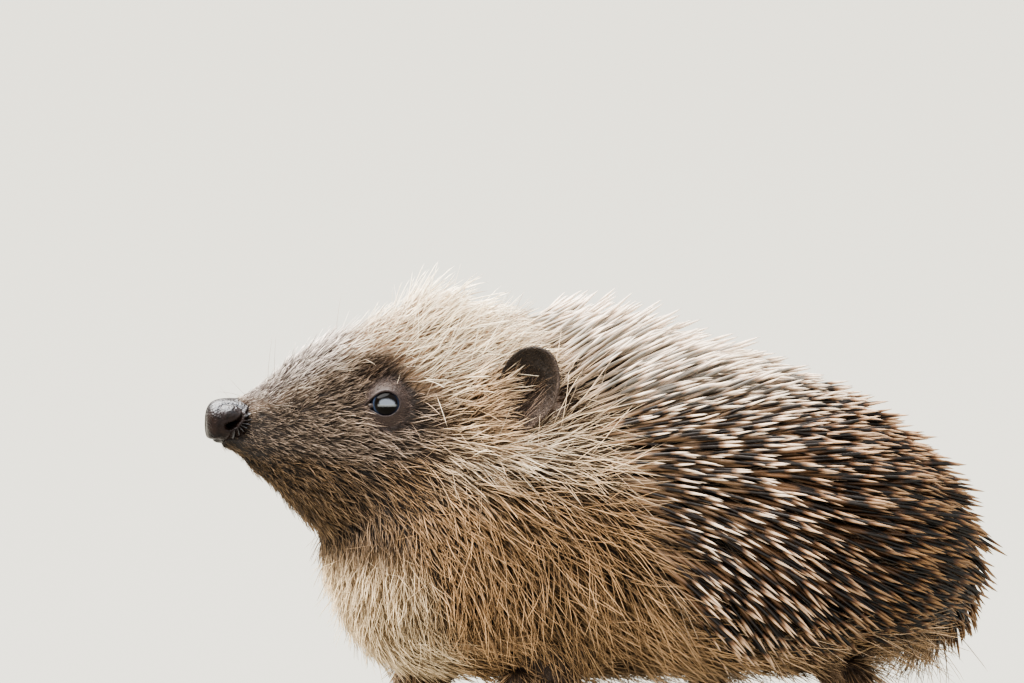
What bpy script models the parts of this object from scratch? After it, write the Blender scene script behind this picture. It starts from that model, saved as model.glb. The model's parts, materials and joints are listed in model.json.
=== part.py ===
"""A life-size European hedgehog, standing with its head raised and turned a little to its right.

Metres, +Z up. -X is the way the trunk faces, +X is the rump, -Y is the animal's left side and Z = 0 is
the floor under its feet. Every solid reaches out to the tips of the coat. The body is lofted and blended
whole and then parted with thin cuts, so that head, jaw, neck, trunk and limbs are separate pieces.
"""

import math

import bmesh
import bpy
from mathutils import Matrix, Vector

MM = 0.001
GAP = 0.3 * MM  # the thin cut between two neighbouring pieces

# Driving dimensions, out to the tips of the coat.
BODY_WIDTH = 104 * MM
NOSE_HEIGHT = 64.6 * MM  # middle of the nose pad, with the head raised
HEAD_LENGTH = 56 * MM  # nose tip to the ear opening
HEAD_TURN = math.radians(20)  # towards the animal's right
EYE_DIAMETER = 7.2 * MM
EAR_HEIGHT = 19 * MM
EAR_WIDTH = 14.5 * MM
EAR_DEPTH = 5.2 * MM
EAR_WALL = 1.3 * MM
TAIL_LENGTH = 17 * MM
FOREFOOT_LENGTH = 19 * MM
HINDFOOT_LENGTH = 30 * MM
FOOT_WIDTH = 12 * MM

# Places on the head: back from the nose tip, to the left of the middle, and above the nose's middle.
EYE_PLACE = (33.0, 13.0, 3.8)
EAR_PLACE = (58.2, 20.5, 6.8)
NOSTRIL_PLACE = (4.6, 4.4, -0.9)
NOSE_PAD_RADII = (4.9, 4.5, 4.5)  # lengthwise, across, upright

# Joints of the legs from the body down, with Y measured outwards, and the limb's radius at each.
FORELEG_JOINTS = ((-1, 21, 31), (3, 23, 21), (-8, 19.5, 6.5))
FORELEG_RADII = (10, 7.6, 4.8)
FOREFOOT_HEEL = (-5, 19.5, 0)
FOREFOOT_TOES = (4.2, 6.4, 7.2, 6.4, 4.4)
FOREFOOT_TOE_RADIUS = 1.55
HINDLEG_JOINTS = ((62, 27, 38), (51, 31, 20), (66, 27, 7))
HINDLEG_RADII = (13, 8.6, 5)
HINDFOOT_HEEL = (71, 27, 0)
HINDFOOT_TOES = (5, 7.4, 8.2, 7.2, 4.6)
HINDFOOT_TOE_RADIUS = 1.6

# The head's own directions. The point between the ear openings is where X = Y = 0 while modelling.
FORWARD = Vector((-math.cos(HEAD_TURN), math.sin(HEAD_TURN), 0))
LEFT = Vector((-math.sin(HEAD_TURN), -math.cos(HEAD_TURN), 0))
UP = Vector((0, 0, 1))

# Head sections: distance back from the nose tip, top and bottom above the nose's middle, half width.
HEAD_SECTIONS = (
    (3.0, 3.6, -4.0, 3.6),
    (6.5, 5.2, -7.0, 5.2),
    (11.0, 7.6, -12.0, 7.4),
    (16.5, 12.3, -18.4, 10.0),
    (23.0, 16.2, -24.0, 12.8),
    (31.0, 20.2, -27.8, 15.6),
    (38.0, 23.2, -29.0, 18.2),
    (45.0, 25.2, -28.5, 20.8),
    (53.0, 24.4, -27.0, 22.8),
    (61.0, 22.8, -24.0, 23.0),
    (71.0, 18.4, -16.0, 18.0),
)

# Trunk sections for a body 104 wide: X, top, bottom, half width, height of the widest level.
DRAWN_WIDTH = 104
TRUNK_SECTIONS = (
    (-31.0, 38.0, 26.0, 6.0, 32.0),
    (-27.0, 50.0, 20.0, 15.0, 34.0),
    (-18.0, 64.0, 15.5, 24.0, 36.0),
    (-6.0, 78.0, 13.5, 32.0, 38.0),
    (6.0, 85.8, 12.5, 39.5, 39.0),
    (18.0, 87.2, 12.0, 46.0, 39.0),
    (32.0, 84.8, 12.0, 50.5, 39.0),
    (48.0, 80.4, 12.0, 52.0, 38.0),
    (63.0, 75.0, 12.5, 50.0, 37.5),
    (77.0, 68.5, 13.5, 44.5, 37.0),
    (88.0, 61.5, 15.0, 37.0, 36.0),
    (96.0, 54.0, 17.5, 28.0, 35.0),
    (101.5, 46.0, 21.0, 18.0, 34.0),
    (104.0, 39.0, 27.0, 8.0, 33.0),
)

COLOURS = {
    "fur_pale": ((0.50, 0.40, 0.30), 0.85),
    "fur_dark": ((0.20, 0.15, 0.11), 0.85),
    "spines": ((0.36, 0.29, 0.23), 0.6),
    "skin": ((0.16, 0.12, 0.10), 0.6),
    "nose_leather": ((0.05, 0.04, 0.04), 0.3),
    "eye_gloss": ((0.01, 0.01, 0.01), 0.05),
}


# ---------------------------------------------------------------- helpers


def head_point(back, side, height):
    """A point of the head: distance back from the nose tip, to its left, and above the nose's middle."""
    return FORWARD * (HEAD_LENGTH - back) + LEFT * side + UP * (NOSE_HEIGHT + height)


def sided_point(place, side):
    """The same from millimetres, for the left half when side is 1 and the right half when it is -1."""
    back, aside, height = place
    return head_point(back * MM, side * aside * MM, height * MM)


def body_point(place, side):
    """A point of the body from millimetres, with the part to its side measured outwards."""
    x, aside, z = place
    return Vector((x, aside * side, z)) * MM


def material(name):
    found = bpy.data.materials.get(name)
    if found:
        return found
    made = bpy.data.materials.new(name)
    made.use_nodes = True
    colour, roughness = COLOURS[name]
    shader = made.node_tree.nodes["Principled BSDF"]
    shader.inputs["Base Color"].default_value = (*colour, 1)
    shader.inputs["Roughness"].default_value = roughness
    shader.inputs["Metallic"].default_value = 0
    return made


def object_from(name, bm):
    """A triangulated object, its faces pointing outwards, from a closed bmesh."""
    bmesh.ops.triangulate(bm, faces=bm.faces)
    bmesh.ops.recalc_face_normals(bm, faces=bm.faces)
    mesh = bpy.data.meshes.new(name)
    bm.to_mesh(mesh)
    bm.free()
    made = bpy.data.objects.new(name, mesh)
    bpy.context.scene.collection.objects.link(made)
    return made


def loft(name, rings):
    """A closed solid through rings of points, each ring with as many points as the next."""
    bm = bmesh.new()
    rows = [[bm.verts.new(point) for point in ring] for ring in rings]
    count = len(rows[0])
    for first, second in zip(rows, rows[1:]):
        for i in range(count):
            j = (i + 1) % count
            bm.faces.new((first[i], first[j], second[j], second[i]))
    bm.faces.new(rows[0])
    bm.faces.new(rows[-1])
    return object_from(name, bm)


def section(centre, side, width, rise, drop, power=2.2, points=40):
    """A rounded section across the body: half width, height above and depth below its widest level."""
    ring = []
    for i in range(points):
        angle = math.tau * i / points
        across = math.copysign(abs(math.cos(angle)) ** (2 / power), math.cos(angle))
        upright = math.copysign(abs(math.sin(angle)) ** (2 / power), math.sin(angle))
        ring.append(centre + side * (width * across) + UP * (upright * (rise if upright > 0 else drop)))
    return ring


def tube(name, path, radii, flatten=1.0, sides=12):
    """A round limb along a path of points with a radius at each, its ends rounded off."""
    rings = []
    ends = [(0, 0.55, -0.8)]
    ends += [(i, 1.0, 0.0) for i in range(len(path))]
    ends += [(len(path) - 1, 0.55, 0.8)]
    for i, share, past in ends:
        before, after = path[max(i - 1, 0)], path[min(i + 1, len(path) - 1)]
        along = (after - before).normalized()
        across = along.cross(UP).normalized() if abs(along.z) < 0.95 else along.cross(FORWARD).normalized()
        over = across.cross(along).normalized()
        radius = radii[i]
        centre = path[i] + along * (past * radius)
        ring = []
        for k in range(sides):
            angle = math.tau * k / sides
            ring.append(
                centre
                + across * (radius * share * math.cos(angle))
                + over * (radius * share * flatten * math.sin(angle))
            )
        rings.append(ring)
    return loft(name, rings)


def ellipsoid(name, centre, radii, turn=None, segments=24, rings=14):
    bm = bmesh.new()
    bmesh.ops.create_uvsphere(bm, u_segments=segments, v_segments=rings, radius=1)
    bmesh.ops.scale(bm, vec=Vector(radii), verts=bm.verts)
    if turn is not None:
        bmesh.ops.rotate(bm, matrix=turn, verts=bm.verts)
    bmesh.ops.translate(bm, vec=centre, verts=bm.verts)
    return object_from(name, bm)


def remove(*objects):
    for obj in objects:
        bpy.data.objects.remove(obj)


def settle(obj, *modifiers):
    """Applies modifiers, given as (type, {setting: value}), and returns the object as a plain mesh."""
    for kind, settings in modifiers:
        modifier = obj.modifiers.new(kind.title(), kind)
        for key, value in settings.items():
            setattr(modifier, key, value)
    graph = bpy.context.evaluated_depsgraph_get()
    mesh = bpy.data.meshes.new_from_object(obj.evaluated_get(graph))
    obj.modifiers.clear()
    obj.data = mesh
    return obj


def joined(name, objects):
    """One object that holds the meshes of several, still as separate shells."""
    bm = bmesh.new()
    for obj in objects:
        bm.from_mesh(obj.data)
    remove(*objects)
    return object_from(name, bm)


def blended(name, objects, voxel, passes, triangles):
    """Overlapping shapes melted into one smooth closed body of about so many triangles."""
    body = joined(name, objects)
    settle(
        body,
        ("REMESH", {"mode": "VOXEL", "voxel_size": voxel}),
        ("SMOOTH", {"factor": 0.5, "iterations": passes}),
    )
    ratio = triangles / (2 * len(body.data.polygons))
    return settle(body, ("DECIMATE", {"ratio": min(1.0, ratio), "use_collapse_triangulate": True}))


def cut(obj, cutter, operation):
    """obj with cutter taken away, or kept only where they share space, or joined with it."""
    settle(obj, ("BOOLEAN", {"object": cutter, "operation": operation}))
    bm = bmesh.new()
    bm.from_mesh(obj.data)
    bmesh.ops.remove_doubles(bm, verts=bm.verts, dist=0.12 * MM)
    bmesh.ops.dissolve_degenerate(bm, edges=bm.edges, dist=0.01 * MM)
    keep_largest(bm)
    bmesh.ops.dissolve_limit(bm, angle_limit=math.radians(2), verts=bm.verts, edges=bm.edges)
    bmesh.ops.triangulate(bm, faces=bm.faces)
    bm.to_mesh(obj.data)
    bm.free()
    return obj


def keep_largest(bm):
    """Drops every loose crumb that a cut leaves beside the main body."""
    left, bodies = set(bm.verts), []
    while left:
        body, front = set(), [left.pop()]
        while front:
            vert = front.pop()
            body.add(vert)
            for edge in vert.link_edges:
                other = edge.other_vert(vert)
                if other in left:
                    left.discard(other)
                    front.append(other)
        bodies.append(body)
    bodies.sort(key=len)
    for body in bodies[:-1]:
        bmesh.ops.delete(bm, geom=list(body), context="VERTS")


def copied(obj, name):
    made = bpy.data.objects.new(name, obj.data.copy())
    bpy.context.scene.collection.objects.link(made)
    return made


def swollen(obj, by=GAP):
    """A copy grown outwards by a gap, to cut room for obj in its neighbour."""
    made = copied(obj, obj.name + "_room")
    moves = [vert.normal.copy() for vert in made.data.vertices]
    for vert, normal in zip(made.data.vertices, moves):
        vert.co += normal * by
    return made


def make_room(host, guest):
    """Takes guest and a gap round it out of host."""
    room = swollen(guest)
    cut(host, room, "DIFFERENCE")
    remove(room)


def taken_off(host, name, cutter, wider_cutter):
    """Parts host in two: the returned piece is inside cutter, and host keeps what is outside wider_cutter."""
    piece = copied(host, name)
    cut(piece, cutter, "INTERSECT")
    cut(host, wider_cutter, "DIFFERENCE")
    remove(cutter, wider_cutter)
    return piece


def on_floor(obj, clear=0.0):
    """Cuts a limb flat where it stands on the floor."""
    bm = bmesh.new()
    bm.from_mesh(obj.data)
    geometry = bm.verts[:] + bm.edges[:] + bm.faces[:]
    made = bmesh.ops.bisect_plane(
        bm, geom=geometry, plane_co=(0, 0, clear), plane_no=(0, 0, 1), clear_inner=True
    )
    rim = [item for item in made["geom_cut"] if isinstance(item, bmesh.types.BMEdge)]
    bmesh.ops.holes_fill(bm, edges=rim)
    bmesh.ops.triangulate(bm, faces=bm.faces)
    bmesh.ops.recalc_face_normals(bm, faces=bm.faces)
    bm.to_mesh(obj.data)
    bm.free()
    return obj


# ---------------------------------------------------------------- head, neck and trunk, as one body


def trunk_shape():
    rings = []
    for x, top, bottom, width, level in TRUNK_SECTIONS:
        centre = Vector((x, 0, level)) * MM
        true_width = width * BODY_WIDTH / DRAWN_WIDTH
        rise, drop = (top - level) * MM, (level - bottom) * MM
        rings.append(section(centre, Vector((0, 1, 0)), true_width, rise, drop))
    return loft("trunk_shape", rings)


def head_shape():
    rings = []
    for back, top, bottom, width in HEAD_SECTIONS:
        level = (top + bottom) / 2 - 0.06 * (top - bottom)
        centre = head_point(back * MM, 0, level * MM)
        rise, drop = (top - level) * MM, (level - bottom) * MM
        rings.append(section(centre, LEFT, width * MM, rise, drop, 2.1))
    return loft("head_shape", rings)


def neck_shapes():
    """The nape and the breast fill the hollow between the turned head and the shoulders."""
    nape = ellipsoid("nape", Vector((1, 3, 56)) * MM, Vector((27, 31, 31)) * MM)
    breast = ellipsoid("breast", Vector((-15, 4, 40)) * MM, Vector((17, 22, 23)) * MM)
    return [nape, breast]


def crown_shape():
    """The tuft of raised spines along the front edge of the spiny coat, over the brow."""
    return ellipsoid("crown", head_point(45 * MM, 0, 17.6 * MM), Vector((10, 13, 8.5)) * MM)


# ---------------------------------------------------------------- face


def eye(side):
    name = "eye_left" if side > 0 else "eye_right"
    radius = EYE_DIAMETER / 2
    return ellipsoid(name, sided_point(EYE_PLACE, side), (radius, radius, radius), segments=14, rings=9)


def pad_shape(name, grown=0.0):
    """The block of the nose pad, before its nostrils."""
    turn = Matrix((FORWARD, LEFT, UP)).transposed()
    radii = Vector([radius * MM + grown for radius in NOSE_PAD_RADII])
    return ellipsoid(name, head_point(NOSE_PAD_RADII[0] * MM, 0, 0), radii, turn, 14, 10)


def nose_pad():
    """The wet pad at the snout's tip: a rounded block with two comma nostrils that open to the sides."""
    turn = Matrix((FORWARD, LEFT, UP)).transposed()
    pad = pad_shape("nose")
    groove_place = head_point(-1.0 * MM, 0, -2.2 * MM)
    groove = ellipsoid("groove", groove_place, Vector((1.6, 0.55, 4.0)) * MM, turn, 8, 6)
    cut(pad, groove, "DIFFERENCE")
    remove(groove)
    for side in (1, -1):
        centre = sided_point(NOSTRIL_PLACE, side)
        nostril = ellipsoid("nostril", centre, Vector((1.5, 1.8, 1.0)) * MM, turn, 8, 6)
        cut(pad, nostril, "DIFFERENCE")
        remove(nostril)
    return pad


def ear(side):
    """A rounded cup that stands out behind the cheek, open forwards and outwards."""
    name = "ear_left" if side > 0 else "ear_right"
    bm = bmesh.new()
    bmesh.ops.create_uvsphere(bm, u_segments=14, v_segments=9, radius=1)
    geometry = bm.verts[:] + bm.edges[:] + bm.faces[:]
    bmesh.ops.bisect_plane(bm, geom=geometry, plane_co=(0.12, 0, 0), plane_no=(1, 0, 0), clear_outer=True)
    for vert in bm.verts:
        narrowing = 1.0 + 0.18 * vert.co.z
        vert.co.y *= narrowing
    bmesh.ops.scale(bm, vec=(EAR_DEPTH, EAR_WIDTH / 2, EAR_HEIGHT / 2), verts=bm.verts)
    opening = (FORWARD * 0.62 + LEFT * (side * 0.78)).normalized()
    upright = (UP * 0.93 - FORWARD * 0.30 + LEFT * (side * 0.22)).normalized()
    across = upright.cross(opening).normalized()
    opening = across.cross(upright).normalized()
    turn = Matrix((opening, across, upright)).transposed()
    bmesh.ops.rotate(bm, matrix=turn, verts=bm.verts)
    bmesh.ops.translate(bm, vec=sided_point(EAR_PLACE, side), verts=bm.verts)
    mesh = bpy.data.meshes.new(name)
    bm.to_mesh(mesh)
    bm.free()
    cup = bpy.data.objects.new(name, mesh)
    bpy.context.scene.collection.objects.link(cup)
    settle(cup, ("SOLIDIFY", {"thickness": EAR_WALL, "offset": -1}))
    bm = bmesh.new()
    bm.from_mesh(cup.data)
    remove(cup)
    return object_from(name, bm)


def jaw_prism(grown):
    """The space under the line of the lips and ahead of the throat, grown by a gap."""
    outline = ((1.0, -5.0), (25.5, -9.0), (33.0, -40.0), (1.0, -40.0))
    middle = Vector((17, 0, -22))
    rings = []
    for side in (-1, 1):
        ring = []
        for back, height in outline:
            spot = Vector((back, 0, height))
            spot += (spot - middle).normalized() * (grown / MM) * 1.5
            ring.append(head_point(spot.x * MM, side * 32 * MM, spot.z * MM))
        rings.append(ring)
    return loft("jaw_space", rings)


# ---------------------------------------------------------------- limbs and tail


def toes(heel, ahead, foot_length, spread, toe_lengths, radius):
    """Five toes that fan out from the front of a foot, and a claw at the tip of each."""
    across = UP.cross(ahead).normalized()
    flesh, claws = [], []
    for i, length in enumerate(toe_lengths):
        place = (i - 2) / 2
        direction = (ahead + across * (place * 0.42)).normalized()
        root = heel + ahead * (foot_length * 0.60) + across * (place * spread) + UP * (radius * 1.5)
        knuckle = root + direction * (length * 0.5) + UP * (0.5 * MM)
        tip = root + direction * length - UP * (radius * 0.6)
        flesh.append(tube(f"toe{i}", [root, knuckle, tip], [radius, radius * 0.95, radius * 0.8], 1, 8))
        claw_root = tip + UP * (0.25 * MM)
        claw_middle = claw_root + direction * (2.4 * MM) + UP * (0.15 * MM)
        claw_tip = claw_root + direction * (4.6 * MM) - UP * (0.35 * MM)
        claws.append(
            tube(f"claw{i}", [claw_root, claw_middle, claw_tip], [0.75 * MM, 0.6 * MM, 0.3 * MM], 1, 5)
        )
    return flesh, claws


def leg(name, joints, radii, heel, ahead, foot_length, toe_lengths, toe_radius):
    """A leg and its foot, melted into one limb and then parted at the wrist or ankle."""
    limb = tube("limb", joints, radii, 1, 16)
    palm_path = [heel + ahead * (foot_length * share) + UP * (3.0 * MM) for share in (0.08, 0.35, 0.62)]
    palm = tube("palm", palm_path, [FOOT_WIDTH * share for share in (0.36, 0.44, 0.48)], 0.62, 14)
    flesh, claws = toes(heel, ahead, foot_length, FOOT_WIDTH * 0.42, toe_lengths, toe_radius)
    whole = blended("limb", [limb, palm, *flesh], 0.55 * MM, 3, 420)
    for claw in claws:
        cut(whole, claw, "UNION")
        remove(claw)
    on_floor(whole)
    foot_name = name.replace("leg", "foot")
    ankle = joints[-1]
    foot = taken_off(whole, foot_name, block_under(ankle, 0), block_under(ankle, GAP))
    whole.name = name
    return whole, foot


def block_under(ankle, grown):
    """The space below the level where a foot is parted from its leg."""
    rings = []
    for height in (-10 * MM, ankle.z + 2 * MM + grown):
        ring = []
        for x, y in ((-40, -30), (40, -30), (40, 30), (-40, 30)):
            ring.append(Vector((ankle.x + x * MM, ankle.y + y * MM, height)))
        rings.append(ring)
    return loft("block", rings)


def foreleg(side):
    name = "foreleg_left" if side < 0 else "foreleg_right"
    joints = [body_point(joint, side) for joint in FORELEG_JOINTS]
    radii = [radius * MM for radius in FORELEG_RADII]
    heel = body_point(FOREFOOT_HEEL, side)
    ahead = Vector((-1, -0.10 * side, 0)).normalized()
    lengths = [length * MM for length in FOREFOOT_TOES]
    return leg(name, joints, radii, heel, ahead, FOREFOOT_LENGTH, lengths, FOREFOOT_TOE_RADIUS * MM)


def hindleg(side):
    name = "hindleg_left" if side < 0 else "hindleg_right"
    joints = [body_point(joint, side) for joint in HINDLEG_JOINTS]
    radii = [radius * MM for radius in HINDLEG_RADII]
    heel = body_point(HINDFOOT_HEEL, side)
    ahead = Vector((-1, 0.16 * side, 0)).normalized()
    lengths = [length * MM for length in HINDFOOT_TOES]
    return leg(name, joints, radii, heel, ahead, HINDFOOT_LENGTH, lengths, HINDFOOT_TOE_RADIUS * MM)


def tail():
    """The short bare tail, tucked under the rump."""
    root = Vector((86, 0, 24)) * MM
    middle = root + Vector((9, 0.6, -4)) * MM
    tip = root + Vector((0.94, 0.08, -0.52)).normalized() * TAIL_LENGTH
    return tube("tail", [root, middle, tip], [3.4 * MM, 2.5 * MM, 1.2 * MM], 1, 12)


# ---------------------------------------------------------------- assembly


def head_ball(shift):
    """The ball that parts the head from the neck behind the ears and under the jaw."""
    radius = 39.5 * MM + shift
    return ellipsoid("ball", head_point(31 * MM, 0, 9 * MM), (radius, radius, radius), None, 20, 12)


def neck_ball(shift):
    """The larger ball that parts the neck from the shoulders."""
    radii = Vector((56 * MM + shift, 62 * MM + shift, 56 * MM + shift))
    return ellipsoid("ball", Vector((-27, 8, 66)) * MM, radii, None, 20, 12)


def stand_on_origin(objects):
    """Moves the finished animal so that the origin is on the floor under the middle of its box."""
    corners = [vert.co for obj in objects for vert in obj.data.vertices]
    middle_x = (min(c.x for c in corners) + max(c.x for c in corners)) / 2
    middle_y = (min(c.y for c in corners) + max(c.y for c in corners)) / 2
    for obj in objects:
        obj.data.transform(Matrix.Translation((-middle_x, -middle_y, 0)))


def main():
    for obj in list(bpy.data.objects):
        bpy.data.objects.remove(obj)
    shapes = [trunk_shape(), head_shape(), crown_shape(), *neck_shapes()]
    trunk = blended("trunk", shapes, 1.1 * MM, 12, 1350)
    nodes = {}
    nodes["head"] = taken_off(trunk, "head", head_ball(0), head_ball(GAP))
    nodes["neck"] = taken_off(trunk, "neck", neck_ball(0), neck_ball(GAP))
    nodes["trunk"] = trunk
    head = nodes["head"]
    nodes["nose"] = nose_pad()
    pad_room = pad_shape("pad_room", GAP)
    cut(head, pad_room, "DIFFERENCE")
    remove(pad_room)
    nodes["lower_jaw"] = taken_off(head, "lower_jaw", jaw_prism(0), jaw_prism(GAP))
    for side in (1, -1):
        ball = eye(side)
        nodes[ball.name] = ball
        make_room(head, ball)
        cup = ear(side)
        nodes[cup.name] = cup
        make_room(head, cup)
        for other in ("neck", "trunk"):
            make_room(nodes[other], cup)
    for side in (-1, 1):
        for limb in (foreleg(side), hindleg(side)):
            for piece in limb:
                nodes[piece.name] = piece
            make_room(nodes["trunk"], limb[0])
            make_room(nodes["neck"], limb[0])
    nodes["tail"] = tail()
    make_room(nodes["trunk"], nodes["tail"])

    finishes = {
        "fur_pale": ("head", "neck"),
        "fur_dark": ("lower_jaw", "foreleg_left", "foreleg_right", "hindleg_left", "hindleg_right"),
        "spines": ("trunk",),
        "skin": (
            "ear_left",
            "ear_right",
            "forefoot_left",
            "forefoot_right",
            "hindfoot_left",
            "hindfoot_right",
            "tail",
        ),
        "nose_leather": ("nose",),
        "eye_gloss": ("eye_left", "eye_right"),
    }
    for finish, names in finishes.items():
        for name in names:
            nodes[name].data.materials.clear()
            nodes[name].data.materials.append(material(finish))
    stand_on_origin(list(nodes.values()))
    animal = bpy.data.collections.new("hedgehog")
    bpy.context.scene.collection.children.link(animal)
    for obj in nodes.values():
        bpy.context.scene.collection.objects.unlink(obj)
        animal.objects.link(obj)
        obj.data.shade_smooth()


main()
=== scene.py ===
# %% [markdown]
# A hedgehog is a small body under a very deep coat: about six thousand hollow spines over the back, and
# coarse straight hair everywhere else. The solid frame already reaches out to the tips of that coat, so
# this lesson works inwards: it finds the skin under the coat, gives it a face, and then grows the spines
# and hairs back out until they meet the frame's outline again.

import json
import math

import bmesh
import bpy
import numpy as np
from mathutils import Matrix, Vector
from mathutils.bvhtree import BVHTree

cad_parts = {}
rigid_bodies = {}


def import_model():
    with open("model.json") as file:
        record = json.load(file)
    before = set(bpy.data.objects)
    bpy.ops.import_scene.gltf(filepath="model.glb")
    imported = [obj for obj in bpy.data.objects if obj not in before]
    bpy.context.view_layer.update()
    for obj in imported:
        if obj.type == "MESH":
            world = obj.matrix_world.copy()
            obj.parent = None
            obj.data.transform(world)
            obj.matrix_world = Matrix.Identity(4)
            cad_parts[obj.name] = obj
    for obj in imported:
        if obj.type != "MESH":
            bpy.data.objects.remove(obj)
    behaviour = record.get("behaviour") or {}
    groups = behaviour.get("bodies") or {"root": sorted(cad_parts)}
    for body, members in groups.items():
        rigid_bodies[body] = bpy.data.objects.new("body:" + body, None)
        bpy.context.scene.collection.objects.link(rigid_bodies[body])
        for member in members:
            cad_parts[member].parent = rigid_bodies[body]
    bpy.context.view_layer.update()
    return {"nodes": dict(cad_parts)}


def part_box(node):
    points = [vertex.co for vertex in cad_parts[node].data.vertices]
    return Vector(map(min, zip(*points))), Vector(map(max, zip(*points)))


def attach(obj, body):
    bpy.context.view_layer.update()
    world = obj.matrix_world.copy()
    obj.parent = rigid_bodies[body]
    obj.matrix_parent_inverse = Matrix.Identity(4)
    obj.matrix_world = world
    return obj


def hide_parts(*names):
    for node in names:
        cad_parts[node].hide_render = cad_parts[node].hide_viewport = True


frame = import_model()
MM = 0.001
UP = Vector((0, 0, 1))
SIDES = ((1, "left"), (-1, "right"))  # the sign of the distance to the animal's left

# %% [markdown]
# The head is turned aside and raised, so the face needs directions of its own. They come from the frame's
# eyes and nose: one eye to the other gives "left", and that crossed with "up" gives "ahead". Every place
# on the face is then told as three plain distances in millimetres: how far back from the nose tip, how
# far to the side, and how far above the nose.


# %% Directions of the head
def middle(node):
    """The centre of a solid of the frame."""
    low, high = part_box(node)
    return (low + high) / 2


NOSE_PAD_DEPTH = 4.9 * MM
EYE_LEFT = middle("eye_left")
EYE_RIGHT = middle("eye_right")
HEAD_LEFT = (EYE_LEFT - EYE_RIGHT).normalized()
HEAD_AHEAD = HEAD_LEFT.cross(UP)
NOSE_TIP = middle("nose") + HEAD_AHEAD * NOSE_PAD_DEPTH
HEAD_TURN = Matrix((HEAD_AHEAD, HEAD_LEFT, UP)).transposed()


def face_place(back, side, height):
    """A point given in millimetres from the nose tip: back, to the animal's left, and up."""
    return NOSE_TIP - HEAD_AHEAD * (back * MM) + HEAD_LEFT * (side * MM) + UP * (height * MM)


def face_distances(points):
    """Arrays of how far back, aside and high each point is from the nose tip, in millimetres."""
    offset = (points - np.array(NOSE_TIP)) / MM
    return -offset @ np.array(HEAD_AHEAD), offset @ np.array(HEAD_LEFT), offset[:, 2]


def distances(points, centre, *ways):
    """How far each point is from the centre along each way, in millimetres."""
    offset = (points - np.array(centre)) / MM
    return [offset @ np.array(way) for way in ways]


def far_from(points, place):
    """How far each point is from a place, in millimetres."""
    return np.linalg.norm(points - np.array(place), axis=1) / MM


print("eye behind the nose tip, mm:", round((NOSE_TIP - EYE_LEFT).dot(HEAD_AHEAD) / MM, 1))


# %% [markdown]
# Most of the shaping below is done on arrays: a mesh's points are read into numpy, moved all at once by a
# smooth rule, and written back. That is far quicker than a loop over vertices, and a smooth step from 0
# to 1 is all that is needed to fade one rule into another.


# %% Helpers for meshes as arrays
def fade(values, start, end):
    """0 before start, 1 after end, and a smooth step between. start may be the larger."""
    t = np.clip((np.asarray(values, float) - start) / (end - start), 0, 1)
    return t * t * (3 - 2 * t)


def mix(a, b, share):
    return a + (b - a) * share


def read_points(mesh):
    points = np.empty(len(mesh.vertices) * 3)
    mesh.vertices.foreach_get("co", points)
    return points.reshape(-1, 3)


def read_normals(mesh):
    normals = np.empty(len(mesh.vertices) * 3, np.float32)
    mesh.vertex_normals.foreach_get("vector", normals)
    return normals.reshape(-1, 3).astype(float)


def write_points(mesh, points):
    mesh.vertices.foreach_set("co", points.ravel())
    mesh.update()


def store(mesh, name, values):
    """Keeps one number, vector or colour for each point of a mesh."""
    kinds = {1: ("FLOAT", "value"), 3: ("FLOAT_VECTOR", "vector"), 4: ("FLOAT_COLOR", "color")}
    values = np.asarray(values, float)
    width = 1 if values.ndim == 1 else values.shape[1]
    kind, field = kinds[width]
    if name in mesh.attributes:
        mesh.attributes.remove(mesh.attributes[name])
    mesh.attributes.new(name, kind, "POINT").data.foreach_set(field, values.ravel())


def unit(vectors):
    return vectors / np.maximum(np.linalg.norm(vectors, axis=1, keepdims=True), 1e-12)


def new_object(name, data):
    made = bpy.data.objects.new(name, data)
    bpy.context.scene.collection.objects.link(made)
    return made


def object_from(name, bm):
    """A smooth-shaded object made of a finished bmesh, with its faces outward."""
    bmesh.ops.recalc_face_normals(bm, faces=bm.faces)
    mesh = bpy.data.meshes.new(name)
    bm.to_mesh(mesh)
    bm.free()
    mesh.shade_smooth()
    return new_object(name, mesh)


def applied(obj, kind, **settings):
    """Applies one modifier and leaves a plain mesh."""
    modifier = obj.modifiers.new(kind.title(), kind)
    for key, value in settings.items():
        setattr(modifier, key, value)
    graph = bpy.context.evaluated_depsgraph_get()
    mesh = bpy.data.meshes.new_from_object(obj.evaluated_get(graph))
    obj.modifiers.clear()
    old = obj.data
    obj.data = mesh
    bpy.data.meshes.remove(old)
    return obj


def joined(name, objects):
    """One object with the meshes of several. The objects that aren't part of the frame are removed."""
    bm = bmesh.new()
    for obj in objects:
        bm.from_mesh(obj.data)
    for obj in objects:
        if obj.name not in frame["nodes"]:
            bpy.data.objects.remove(obj)
    bmesh.ops.remove_doubles(bm, verts=bm.verts, dist=0.001 * MM)
    return object_from(name, bm)


def soften(obj, share, iterations):
    """Smooths only where share is above 0."""
    group = obj.vertex_groups.new(name="soften")
    for index in np.nonzero(share > 0.01)[0]:
        group.add([int(index)], float(share[index]), "REPLACE")
    applied(obj, "SMOOTH", factor=0.5, iterations=iterations, vertex_group="soften")
    obj.vertex_groups.clear()


def loft(bm, rings):
    """Faces between each ring of points and the next."""
    for first, second in zip(rings, rings[1:]):
        for k in range(len(first)):
            j = (k + 1) % len(first)
            bm.faces.new((first[k], first[j], second[j], second[k]))


def fan(bm, ring, pole):
    """Closes a ring with triangles that meet at one point."""
    for k in range(len(ring)):
        bm.faces.new((ring[k], ring[(k + 1) % len(ring)], pole))


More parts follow.
